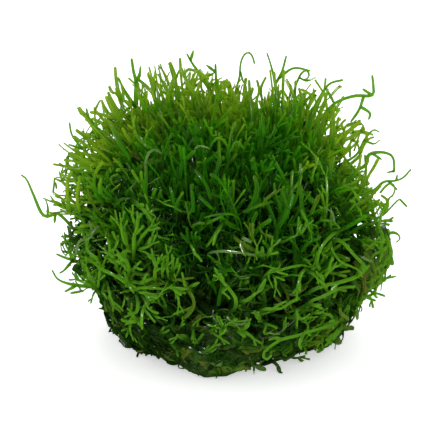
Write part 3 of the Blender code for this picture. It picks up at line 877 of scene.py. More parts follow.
def thallus_material(name, look):
    """Wet liverwort: dark where it is old and, as painted shade, deep in the clump; bright and translucent at
    its tips.
    """
    material = bpy.data.materials.new(name)
    material.use_nodes = True
    nodes = Nodes(material)
    place = nodes.add("ShaderNodeTexCoord").outputs["Object"]
    mottle = nodes.noise(place, MOTTLE_SCALE, 2.0)
    cells = nodes.add("ShaderNodeTexVoronoi", {"Vector": place, "Scale": CELL_SCALE}).outputs["Distance"]
    young_and_lit = youth_and_painted_light(nodes, look, place)
    deep, middle, bright = look.colours
    low = nodes.mix(nodes.spread(young_and_lit, *TO_MIDDLE), deep, middle)
    colour = nodes.mix(nodes.spread(young_and_lit, *TO_BRIGHT), low, bright)
    olive = nodes.spread(nodes.value("tone"), *OLIVE_TONES)
    colour = nodes.mix(nodes.math("MULTIPLY", olive, OLIVE_SHARE), colour, OLIVE)
    colour = nodes.mix(nodes.spread(mottle, *MOTTLE_RANGE, 0.0, MOTTLE_SHARE), colour, deep)
    rough = nodes.spread(mottle, *ROUGH_RANGE, look.roughness - SMOOTHER, look.roughness + ROUGHER)
    cell_relief = nodes.math("MULTIPLY", cells, RELIEF_BY_CELLS)
    relief = nodes.math("MULTIPLY_ADD", mottle, RELIEF_BY_MOTTLE, cell_relief)
    heights = {"Height": relief, "Strength": RELIEF_STRENGTH, "Distance": RELIEF_METRES}
    bump = nodes.add("ShaderNodeBump", heights).outputs[0]
    surface = nodes.add(
        "ShaderNodeBsdfPrincipled",
        {
            "Base Color": colour,
            "Roughness": rough,
            "Normal": bump,
            "IOR": 1.42,
            "Specular IOR Level": look.specular,
            "Coat Weight": look.coat,
            "Coat Roughness": 0.12,
        },
    ).outputs[0]
    passed = nodes.mix(nodes.spread(young_and_lit, *TO_PASSED), *look.passed)
    through = nodes.add("ShaderNodeBsdfTranslucent", {"Color": passed}).outputs[0]
    mixed = nodes.add("ShaderNodeMixShader", {0: look.glow, 1: surface, 2: through}).outputs[0]
    nodes.add("ShaderNodeOutputMaterial", {"Surface": mixed})
    return material


def make_camera():
    lens = SENSOR_WIDTH / (IMAGE_PIXELS * MM_PER_PIXEL) * CAMERA_DISTANCE
    camera = bpy.data.cameras.new("camera")
    camera.lens = lens
    camera.sensor_width = SENSOR_WIDTH
    holder = bpy.data.objects.new("camera", camera)
    bpy.context.scene.collection.objects.link(holder)
    aim = Vector(CAMERA_AIM) * MM
    back = Vector((0, -math.cos(CAMERA_ELEVATION), math.sin(CAMERA_ELEVATION)))
    holder.location = aim + back * CAMERA_DISTANCE * MM
    holder.rotation_euler = back.to_track_quat("Z", "Y").to_euler()
    bpy.context.scene.camera = holder


def soft_light(name, light):
    lamp = bpy.data.lights.new(name, "AREA")
    lamp.shape = "DISK"
    lamp.size = light.size * MM
    lamp.energy = light.watts
    holder = bpy.data.objects.new(name, lamp)
    bpy.context.scene.collection.objects.link(holder)
    holder.location = Vector(light.place) * MM
    holder.rotation_euler = (Vector(light.place) - Vector(LIGHT_AIM)).to_track_quat("Z", "Y").to_euler()
    return holder


def make_world():
    """A studio that is bright behind and above the clump and dim in front of it."""
    world = bpy.data.worlds.new("studio")
    bpy.context.scene.world = world
    world.use_nodes = True
    nodes = Nodes(world)
    place = nodes.add("ShaderNodeTexCoord").outputs["Generated"]
    sides = {0: place, 1: BRIGHT_SIDE}
    lit = nodes.add("ShaderNodeVectorMath", sides, operation="DOT_PRODUCT").outputs["Value"]
    strength = nodes.spread(lit, *WORLD_RANGE, *WORLD_STRENGTH)
    light = nodes.add("ShaderNodeBackground", {"Color": (1, 1, 1, 1), "Strength": strength}).outputs[0]
    nodes.add("ShaderNodeOutputWorld", {"Surface": light})
    world.cycles_visibility.glossy = False


def make_floor():
    mesh = bpy.data.meshes.new("floor")
    reach = FLOOR_SIZE / 2
    corners = [(-reach, -reach, 0), (reach, -reach, 0), (reach, reach, 0), (-reach, reach, 0)]
    mesh.from_pydata(corners, [], [(0, 1, 2, 3)])
    floor = bpy.data.objects.new("floor", mesh)
    bpy.context.scene.collection.objects.link(floor)
    material = bpy.data.materials.new("floor")
    material.use_nodes = True
    shader = material.node_tree.nodes["Principled BSDF"]
    shader.inputs["Base Color"].default_value = (0.94, 0.94, 0.94, 1)
    shader.inputs["Roughness"].default_value = 0.8
    shader.inputs["Specular IOR Level"].default_value = 0.1
    shader.inputs["Emission Color"].default_value = (1, 1, 1, 1)
    shader.inputs["Emission Strength"].default_value = FLOOR_GLOW
    mesh.materials.append(material)
    floor.visible_glossy = False


def smooth_route(points, count, cap=0.0):
    """So many points spread evenly along a Catmull-Rom curve, the last two a cap apart if it has one."""
    points = np.array(points, dtype=float)
    padded = np.concatenate([[2 * points[0] - points[1]], points, [2 * points[-1] - points[-2]]])
    fine = []
    for a, b, c, d in zip(padded, padded[1:], padded[2:], padded[3:]):
        t = np.linspace(0, 1, ROUTE_STEPS, endpoint=False)[:, None]
        bend = (2 * a - 5 * b + 4 * c - d) * t**2 + (3 * b - a - 3 * c + d) * t**3
        fine.append(0.5 * (2 * b + (c - a) * t + bend))
    fine = np.concatenate(fine + [points[-1:]])
    travelled = lengths_along(fine)
    if cap:
        even = np.append(np.linspace(0, travelled[-1] - cap, count - 1), travelled[-1])
    else:
        even = np.linspace(0, travelled[-1], count)
    return np.stack([np.interp(even, travelled, fine[:, axis]) for axis in range(3)], -1)


def laid_ribbons(routes, widths, rng, face=THALLUS_FACE, blunt=False, tone=0.0, fresh=0.0, rings=LAID_RINGS,
                 taper=0.0, turning=1.0):
    """Ribbons along given routes, as rings: flat towards a direction, or on the mat, with a slow twist."""
    widths = np.array(widths)
    caps = ROUND_END * widths * blunt
    centre = np.stack([smooth_route(route, rings, cap) for route, cap in zip(routes, caps)])
    heading = unit(np.gradient(centre, axis=1))
    count = len(routes)
    share = np.linspace(0, 1, rings)
    turning = LITTLE_TURNING if face is None else turning
    flat = mat_depth(centre)[1] if face is None else np.array(face)
    flat = unit(flat + FACE_SCATTER * turning * rng.normal(size=(count, 1, 3)) + 0 * centre)
    flat = unit(flat - dot(flat, heading) * heading)
    turn = rng.uniform(-TURN_ALONG, TURN_ALONG, (count, 1)) * share[None]
    turn = (turn + rng.uniform(-TURN_WHOLE, TURN_WHOLE, (count, 1)))[..., None] * turning
    flat = flat * np.cos(turn) + np.cross(heading, flat) * np.sin(turn)
    end = np.where(blunt & (share > LAST_RING), LAID_BLUNT_END, 1.0)
    end = (1 - taper * ramp(share, TAPER_FROM, TAPER_TO)) * end
    unevenness = 1 + UNEVEN_WIDTH * np.sin(share * UNEVEN_WAVES + between(rng, UNEVEN_PHASES, (count, 1)))
    width = widths[:, None] * end[None] * unevenness
    return Rows(
        centre=centre,
        heading=heading,
        face=flat,
        width=width,
        thick=LAID_THICK * width + LEAST_THICK,
        along=np.repeat(share[None], count, 0),
        tone=np.zeros((count, rings)) + np.reshape(tone, (-1, 1)),
        fresh=np.zeros((count, rings)) + np.reshape(fresh, (-1, 1)),
    )


def single_thalli(material):
    """The thalli that stand clear, each along or close to the points of its solid."""
    rng = np.random.default_rng(SEED + SINGLE_SEED)
    for name, lines in THALLI.items():
        stem, *branches = lines
        first = np.array(stem[0])
        seat = first + unit(MAT_MIDDLE - first) * SEAT_DEPTH
        width = THALLUS_WIDTH * SLENDER.get(name, USUAL_SHARE)
        widths = [width] + [width * BRANCH_SHARE] * len(branches)
        routes = [[seat, *stem], *branches]
        rings = laid_ribbons(
            routes, widths, rng, blunt=True, rings=SINGLE_RINGS, taper=SINGLE_TAPER, turning=SINGLE_TURNING,
        )
        rings.fresh += SINGLE_FRESH * ramp(rings.along, *SINGLE_FRESH_ALONG)
        mesh = ribbon_mesh("frond_" + name, rings, GROOVED_SECTION)
        add_piece("frond_" + name, mesh, material, ["thallus_" + name])


def prongs(rings, at, sign, angles, lengths, rng, fresh):
    """Short ribbons that leave each of the given ribbons at one of its rings, to one side."""
    each = np.arange(len(rings.width))
    start, heading, face = rings.centre[each, at], rings.heading[each, at], rings.face[each, at]
    width = rings.width[each, at]
    angle = np.radians(between(rng, angles, len(each)))[:, None] * np.reshape(sign, (-1, 1))
    aside = heading * np.cos(angle) + np.cross(face, heading) * np.sin(angle)
    first = unit(aside + SPRIG_LIFT * face)
    length = between(rng, lengths, len(each))[:, None]
    inside = start - heading * FORK_OVERLAP * width[:, None]
    bent = start + first * length * SPRIG_BEND
    end = bent + unit(first + SPRIG_TURN * heading) * length * SPRIG_END
    routes = np.stack([inside, bent, end], 1)
    widths = SPRIG_WIDTH * width
    sprigs = laid_ribbons(routes, widths, rng, FRONT_FACE, True, rings.tone[:, -1], fresh, SPRIG_RINGS)
    sprigs.along = SPRIG_ALONG[0] + SPRIG_ALONG[1] * sprigs.along
    return sprigs


def front_routes(ribbons, habit):
    """Where ribbons lie that the photograph shows one by one: on the clump, or behind its outline."""
    depths = np.random.default_rng(SEED + DEPTH_SEED)
    routes = []
    for ribbon in ribbons:
        across, down = np.array(ribbon.places, dtype=float).T
        share = np.linspace(0, 1, len(across))
        rise = ramp(share, 0.0, TIP_RISEN) if ribbon.is_tip else np.sin(share * math.pi)
        route = seen(across, down, habit.low + (habit.high - habit.low) * rise, habit.slope)
        away = depths.random() * BEHIND_OUTLINE * ramp(mat_depth(route[-1])[0], *CLEAR_OF_OUTLINE)
        routes.append(route + unit(picture_ray(across, down)[1]) * away)
    return routes


def front_ribbons(name, ribbons, material, habit):
    """Ribbons that the photograph shows one by one on the front, with the sprigs that fork off them."""
    rng = np.random.default_rng(SEED + FRONT_SEED)
    is_tip = np.array([ribbon.is_tip for ribbon in ribbons])
    widths = habit.width * np.array([ribbon.width for ribbon in ribbons])
    tones = np.array([ribbon.tone for ribbon in ribbons])
    fresh = habit.fresh * np.array([ribbon.fresh for ribbon in ribbons])
    rings = laid_ribbons(front_routes(ribbons, habit), widths, rng, habit.face, True, tones)
    share = np.where(is_tip[:, None], rings.along, np.sin(rings.along * math.pi))
    # Painted shade with older tissue: darker where a ribbon goes into the tangle, at a tip's root and at both
    # ends of a bridge
    rings.fresh = fresh[:, None] * (START_FRESH + (1 - START_FRESH) * share) - START_SHADE_AND_AGE * (1 - share)
    add_tangle(name, rings, material, GROOVED_SECTION)
    parts = []
    forked = np.flatnonzero(is_tip & (rng.random(len(ribbons)) < habit.forked))
    if len(forked):
        ends = rings.rows(forked)
        end_fresh = fresh[forked]
        for sign in (-1, 1):
            parts.append(prongs(ends, LAID_RINGS - 1, sign, habit.angle, END_FORK_LENGTHS, rng, end_fresh))
    if habit.side_angle:
        lengths = np.sum(np.linalg.norm(np.diff(rings.centre, axis=1), axis=2), axis=1)
        chosen = np.flatnonzero(lengths > SPRIG_SPACING)
        at = rng.integers(*SPRIG_PLACES, len(chosen))
        sign = np.where(rng.random(len(chosen)) < 0.5, -1, 1)
        sprig_fresh = rings.fresh[chosen, at]
        parts.append(prongs(rings.rows(chosen), at, sign, habit.side_angle, SPRIG_LENGTHS, rng, sprig_fresh))
    if parts:
        add_tangle(name + "_sprigs", Rows.joined(parts), material, GROOVED_SECTION)


def pressed_pad(material):
    """The smooth mat that the clump was pressed into below, with the ribbons in it showing as low ridges."""
    azimuth = np.linspace(0, math.tau, PAD_SIDES, endpoint=False)[None, :]
    lengths = lengths_along(MAT_OUTLINE)
    along = np.linspace(PAD_START, np.interp(PAD_HEIGHT, MAT_OUTLINE[:, 1], lengths), PAD_ROWS)
    radius = np.interp(along, lengths, MAT_OUTLINE[:, 0])[:, None]
    height = np.interp(along, lengths, MAT_OUTLINE[:, 1])[:, None] + 0 * azimuth
    points = np.stack([radius * np.cos(azimuth), radius * np.sin(azimuth), height], -1)
    depth, normal = mat_depth(points)
    ridges = np.zeros_like(height)
    swing, waves, climb = RIDGE_WAVES
    for turns, slope, phase in RIDGES:
        wave = turns * azimuth + slope * height + swing * np.sin(waves * azimuth + climb * height + phase)
        uneven = 1 - RIDGE_UNEVEN + RIDGE_UNEVEN * lumps(points, RIDGE_LUMPS, phase)
        ridges = np.maximum(ridges, ramp(np.cos(wave), *RIDGE_SIDES) * uneven)
    outer = points + normal * (PAD_LEVEL + PAD_RIDGES * ridges - depth)[..., None]
    inner = outer[-1:] * PAD_INNER
    rows = np.concatenate([outer, inner])
    rows[..., 2] = np.maximum(rows[..., 2], FLOOR_GAP)
    verts = [tuple(vert) for vert in rows.reshape(-1, 3) * MM]
    around = [(k, (k + 1) % PAD_SIDES) for k in range(PAD_SIDES)]
    faces = [(row + a, row + b, row + PAD_SIDES + b, row + PAD_SIDES + a)
             for row in range(0, len(verts) - PAD_SIDES, PAD_SIDES) for a, b in around]
    for ring, z, turn in ((0, FLOOR_GAP, -1), (len(verts) - PAD_SIDES, PAD_HEIGHT, 1)):
        middle = len(verts)
        verts.append((0, 0, z * MM))
        faces += [(ring + a, ring + b, middle)[::turn] for a, b in around]
    mesh = bpy.data.meshes.new("pressed_pad")
    mesh.from_pydata(verts, [], faces)
    mesh.shade_smooth()
    fresh = np.zeros(len(verts), dtype=np.float32)
    fresh[:ridges.size] = RIDGE_FRESH * ridges.reshape(-1) - PAD_DARKER
    values = {"along": PAD_ALONG, "tone": 0.0, "depth": PAD_DEPTH, "fresh": fresh}
    for key, value in values.items():
        add_values(mesh, key, value + np.zeros(len(verts)))
    add_piece("pressed_pad", mesh, material, ["cushion"])


def nylon_thread(material):
    first, last = np.array(THREAD_POINTS[0]), np.array(THREAD_POINTS[-1])
    ends = [point + unit(MAT_MIDDLE - point) * SEAT_DEPTH for point in (first, last)]
    rings = laid_ribbons([[ends[0], *THREAD_POINTS, ends[1]]], [THREAD_WIDTH], np.random.default_rng(SEED))
    rings.width[:] = rings.thick[:] = THREAD_WIDTH
    add_piece("fine_thread", ribbon_mesh("fine_thread", rings), material, ["thread"])


def laying(**changes):
    """How ribbons on the front lie: how deep they start and how far out they go, how wide they are, how often
    their ends fork and how wide, how wide sprigs leave them, and how steeply they go into the picture."""
    plain = dict(forked=0.0, side_angle=None, fresh=1.0, face=FRONT_FACE, slope=1.2)
    return SimpleNamespace(**{**plain, **changes})


ON_FLANK = laying(
    low=0.72, high=1.02, width=0.68, forked=0.75, angle=(16, 32), side_angle=(24, 46), fresh=0.8,
)
ON_CROWN = laying(low=0.6, high=1.04, width=0.72, forked=0.2, angle=(9, 20), fresh=0.6, slope=0.35)
ON_EDGE = laying(low=0.45, high=0.85, width=0.9, fresh=0.9)
LYING_WET = laying(low=0.75, high=1.08, width=0.68, forked=0.4, angle=(18, 36))
IN_MAT = laying(
    low=0.1, high=0.4, width=1.0, forked=0.5, angle=(14, 30), side_angle=(25, 50), face=None,
)


def tip(width, fresh, *places, tone=0.0):
    """A ribbon on the front with a free tip: its width, how much brighter it is, as young growth and as
    painted light, its places in the photograph in pixels, and its tone, which turns olive near 2."""
    return SimpleNamespace(is_tip=True, width=width, fresh=fresh, tone=tone, places=places)


def bridge(width, fresh, *places, tone=0.0):
    """And one with both of its ends in the tangle."""
    return SimpleNamespace(is_tip=False, width=width, fresh=fresh, tone=tone, places=places)


# Ribbons on the front
FRONT_RIBBONS = (
    tip(1.3, 0.3, (133, 262), (134, 250), (134, 238), (137, 228), (138, 219)),
    tip(1, 0.25, (134, 250), (125, 243), (122, 232), (121, 222)),
    tip(0.9, 0.25, (123, 233), (120, 227), (117, 222)),
    tip(1, 0.3, (136, 248), (141, 238), (146, 232), (151, 227)),
    tip(1, 0.3, (138, 249), (147, 247), (153, 243)),
    tip(0.9, 0.25, (145, 247), (149, 241), (152, 237)),
    tip(0.9, 0.25, (136, 229), (134, 221), (131, 213)),
    tip(1, 0.3, (134, 252), (127, 251), (121, 254)),
    tip(0.9, 0.25, (138, 250), (145, 252), (150, 255)),
    tip(1.1, 0.3, (129, 277), (129, 268), (127, 262), (125, 258)),
    tip(0.9, 0.25, (131, 272), (136, 266), (141, 261)),
    tip(1.3, 0.6, (155, 281), (155, 272), (156, 266), (153, 258)),
    tip(1.1, 0.6, (155, 270), (157, 265), (160, 260)),
    tip(1, 0.3, (169, 280), (167, 268), (168, 255)),
    tip(1, 0.3, (170, 276), (173, 264), (172, 254)),
    tip(0.9, 0.3, (171, 275), (176, 265), (178, 258)),
    tip(0.9, 0.3, (163, 278), (162, 269), (163, 263)),
    tip(0.9, 0.3, (174, 281), (177, 274), (179, 269)),
    bridge(1.1, 0.35, (85, 258), (93, 262), (102, 269), (112, 274), (120, 279), (127, 284)),
    tip(1, 0.35, (103, 269), (97, 259), (88, 251), (86, 241)),
    tip(1, 0.3, (102, 268), (106, 258), (110, 250), (108, 240)),
    tip(0.9, 0.3, (129, 278), (130, 287), (134, 293)),
    bridge(1.1, 0.4, (131, 290), (140, 288), (150, 287), (158, 283)),
    bridge(1, 0.4, (138, 283), (148, 280), (156, 277)),
    tip(1.5, 0.45, (142, 289), (146, 293), (149, 297), (153, 300)),
    bridge(0.7, 0.35, (152, 300), (158, 297), (164, 289), (168, 281)),
    bridge(1.1, 0.45, (164, 288), (173, 288), (183, 289), (190, 288)),
    tip(0.9, 0.25, (174, 289), (178, 297), (179, 305)),
    tip(1.2, 0.4, (136, 294), (138, 303), (137, 311), (133, 314)),
    tip(0.9, 0.35, (141, 294), (146, 302), (149, 309), (152, 307)),
    tip(0.9, 0.25, (125, 294), (124, 302), (122, 308)),
    tip(0.9, 0.25, (107, 281), (109, 292), (112, 300), (114, 306)),
    bridge(1.4, 0.2, (187, 289), (192, 296), (194, 303), (191, 311), (184, 318), tone=2.4),
    bridge(0.8, 0.2, (172, 280), (180, 280), (188, 284), tone=2.4),
    tip(0.9, 0.7, (190, 243), (193, 249), (196, 256)),
    bridge(1.4, 0.1, (131, 198), (139, 206), (146, 212), (151, 220), (158, 230)),
    bridge(0.6, 0.6, (155, 198), (165, 204), (174, 207), (182, 212)),
    tip(1.1, 0.35, (97, 289), (90, 285), (83, 282), (76, 279)),
    tip(0.9, 0.35, (97, 289), (88, 288), (82, 291), (79, 287)),
    tip(0.9, 0.3, (96, 290), (93, 281), (88, 272), (86, 266)),
    tip(0.9, 0.3, (98, 288), (99, 278), (100, 270)),
    tip(0.9, 0.25, (96, 290), (93, 295), (92, 299)),
    tip(1.2, 0.5, (148, 335), (143, 328), (138, 322), (134, 317), (131, 311)),
    tip(1.5, 0.4, (118, 326), (123, 334), (130, 343), (136, 349), (139, 353)),
    tip(1.1, 0.3, (124, 333), (133, 340), (140, 343), (146, 344)),
    tip(1.1, 0.35, (131, 319), (129, 328), (126, 337)),
    tip(0.9, 0.2, (153, 314), (157, 317), (161, 318)),
    tip(0.9, 0.2, (168, 318), (173, 315), (177, 312)),
    tip(0.9, 0.25, (177, 329), (181, 326), (183, 321)),
    tip(0.9, 0.3, (155, 326), (157, 332), (163, 333), (169, 330)),
    tip(1, 0.3, (168, 330), (169, 338), (172, 344), (176, 349)),
    tip(1.1, 0.45, (190, 348), (188, 339), (183, 335), (177, 337)),
    tip(0.9, 0.35, (190, 322), (193, 330), (194, 337)),
    tip(1.1, 0.4, (176, 347), (184, 346), (192, 349), (200, 353), (208, 350), (215, 345)),
    tip(0.9, 0.4, (193, 350), (195, 345), (196, 341)),
    tip(0.9, 0.35, (203, 321), (209, 325), (214, 326)),
    tip(1.1, 0.45, (203, 332), (210, 331), (216, 335), (222, 339)),
    bridge(1.3, 0.15, (224, 220), (219, 229), (213, 238), (206, 247)),
    tip(1.1, 0.1, (264, 260), (263, 254), (262, 247)),
    tip(1.1, 0.15, (265, 259), (269, 253), (272, 247)),
    tip(0.9, 0.1, (258, 258), (257, 252), (257, 246)),
    bridge(1.3, 0.15, (234, 237), (240, 242), (248, 247), (256, 252), tone=2.4),
    tip(1, 0.2, (256, 243), (252, 236), (249, 229), tone=2.3),
    bridge(0.7, 0.2, (259, 222), (261, 231), (268, 237), (276, 242), tone=2.3),
    tip(1, 0.15, (269, 243), (282, 242), (291, 238), (297, 235), (298, 227)),
    tip(1, 0.15, (296, 236), (301, 233), (305, 227)),
    tip(1.2, 0.4, (227, 314), (234, 309), (236, 303), (235, 297), (230, 290), (224, 283), (219, 277)),
    bridge(1.1, 0.45, (239, 302), (247, 300), (255, 294), (262, 289), (265, 281)),
    tip(0.9, 0.3, (263, 288), (264, 277), (270, 272), (280, 270), (291, 267), (302, 265)),
    tip(0.9, 0.25, (271, 273), (275, 279), (276, 288)),
    bridge(0.6, 0.6, (277, 259), (280, 263), (279, 268), (272, 269), (268, 275), (273, 288)),
    tip(0.9, 0.5, (236, 327), (243, 329), (248, 326), (249, 321)),
    tip(1.3, 0.45, (231, 329), (240, 331), (248, 334), (254, 339)),
    tip(0.9, 0.4, (219, 331), (222, 324), (220, 318)),
    tip(0.9, 0.45, (222, 330), (228, 324), (234, 321)),
    tip(1.4, 0.55, (312, 272), (305, 270), (301, 274), (299, 281), (297, 289)),
    tip(1.2, 0.4, (305, 271), (312, 273), (317, 277), (319, 283)),
    tip(1.1, 0.35, (321, 290), (323, 281), (321, 274)),
    tip(1.2, 0.4, (323, 279), (328, 272), (334, 267)),
    bridge(1.3, 0.4, (306, 294), (315, 289), (326, 285), (337, 283), (347, 280), (356, 277), (364, 271),
           (369, 265)),
    bridge(1.1, 0.45, (305, 306), (313, 300), (322, 297), (331, 292), (340, 288), (348, 287), (355, 287)),
    tip(1.1, 0.4, (309, 303), (316, 306), (323, 309)),
    bridge(0.8, 0.3, (331, 240), (332, 248), (334, 254), (341, 262), (350, 266), (357, 269), (362, 273)),
    bridge(1.2, 0.3, (333, 238), (341, 241), (349, 249), (355, 256), (362, 263), (367, 270)),
    bridge(0.9, 0.1, (300, 200), (302, 211), (306, 220), (313, 229)),
    tip(0.8, 0.7, (324, 226), (326, 213), (327, 200), (327, 186), (326, 176)),
    tip(0.7, 0.6, (325, 214), (324, 204), (322, 194)),
    tip(0.7, 0.5, (323, 172), (319, 161), (310, 150)),
    tip(1.2, 0.4, (377, 240), (378, 229), (381, 216), (384, 207)),
    bridge(0.9, 0.35, (365, 251), (371, 246), (376, 240), (384, 236)),
    bridge(1.2, 0.15, (340, 231), (333, 234), (326, 241), (320, 250), (317, 259), (316, 268)),
    tip(1.1, 0.5, (305, 309), (298, 309), (297, 314), (301, 319), (306, 317)),
    tip(0.9, 0.35, (311, 313), (318, 313), (322, 312)),
    tip(1, 0.4, (317, 322), (321, 317), (327, 314), (331, 316), (333, 320)),
    bridge(1, 0.3, (319, 326), (325, 324), (332, 323), (338, 322)),
    tip(0.9, 0.35, (320, 326), (323, 333), (321, 341)),
    tip(0.9, 0.3, (338, 325), (334, 330), (331, 336)),
    tip(1, 0.4, (313, 328), (309, 334), (305, 341)),
    tip(0.9, 0.35, (281, 335), (283, 330), (286, 325)),
    tip(0.9, 0.5, (274, 339), (265, 345), (261, 351), (264, 356), (269, 355), (272, 351)),
    bridge(1.1, 0.3, (258, 312), (266, 309), (274, 309), (282, 308), (291, 302), (300, 298)),
    tip(1, 0.3, (262, 322), (257, 317), (254, 312), (252, 313)),
    tip(1, 0.4, (262, 320), (266, 326), (264, 333), (269, 333)),
    bridge(0.8, 0.2, (245, 349), (252, 352), (260, 350), (263, 345), tone=2.3),
    bridge(1.1, 0.3, (110, 262), (113, 252), (117, 243), (118, 235)),
    tip(1, 0.25, (118, 270), (116, 262), (112, 256), (106, 252)),
    bridge(1, 0.2, (104, 256), (112, 260), (120, 262), (127, 266)),
    bridge(1.5, 0.35, (384, 232), (388, 242), (391, 251), (389, 261), (385, 270)),
    bridge(1.2, 0.3, (388, 246), (382, 251), (375, 254), (368, 261)),
    bridge(1.2, 0.2, (368, 276), (374, 270), (381, 266), (387, 263), tone=1.9),
    bridge(1.4, 0.4, (385, 270), (379, 276), (373, 280), (366, 283)),
    tip(1.1, 0.2, (364, 252), (371, 260), (375, 271), (374, 282), tone=2.3),
    bridge(1.4, 0.4, (362, 290), (369, 288), (376, 285), (381, 280)),
    bridge(1.2, 0.4, (358, 299), (365, 297), (371, 295), (375, 291)),
    bridge(1.3, 0.25, (362, 236), (371, 241), (378, 247), (382, 256)),
    bridge(1.2, 0.45, (376, 224), (381, 232), (383, 241), (380, 250)),
    bridge(1, 0.4, (369, 290), (373, 293), (377, 298)),
    bridge(0.9, 0.3, (370, 297), (372, 302), (373, 308)),
    bridge(0.9, 0.4, (380, 277), (385, 279), (391, 275)),
)

# Wet ribbons that lie pressed along the right edge
EDGE_RIBBONS = (
    bridge(1.7, -0.05, (382, 226), (386, 236), (389, 247), (389, 258), (385, 269)),
    bridge(1.5, 0.25, (378, 230), (384, 240), (385, 251), (387, 262), (383, 272)),
    bridge(1.8, -0.1, (374, 236), (379, 246), (384, 256), (381, 268), (380, 279), tone=1.9),
    bridge(1.6, 0.2, (372, 228), (375, 241), (381, 252), (379, 264), (375, 276)),
    bridge(1.8, -0.05, (368, 242), (375, 252), (374, 264), (378, 275), (372, 288)),
    bridge(1.6, 0.15, (362, 244), (370, 254), (371, 268), (373, 280), (368, 292), tone=2),
    bridge(1.8, -0.1, (360, 254), (364, 266), (370, 276), (367, 288), (362, 299)),
    bridge(1.6, 0.1, (354, 262), (361, 272), (364, 284), (360, 296), tone=2.3),
    bridge(1.8, -0.1, (350, 270), (354, 281), (359, 290), (356, 301)),
    bridge(1.3, 0.25, (370, 262), (366, 272), (364, 283), (367, 293), tone=2.4),
)

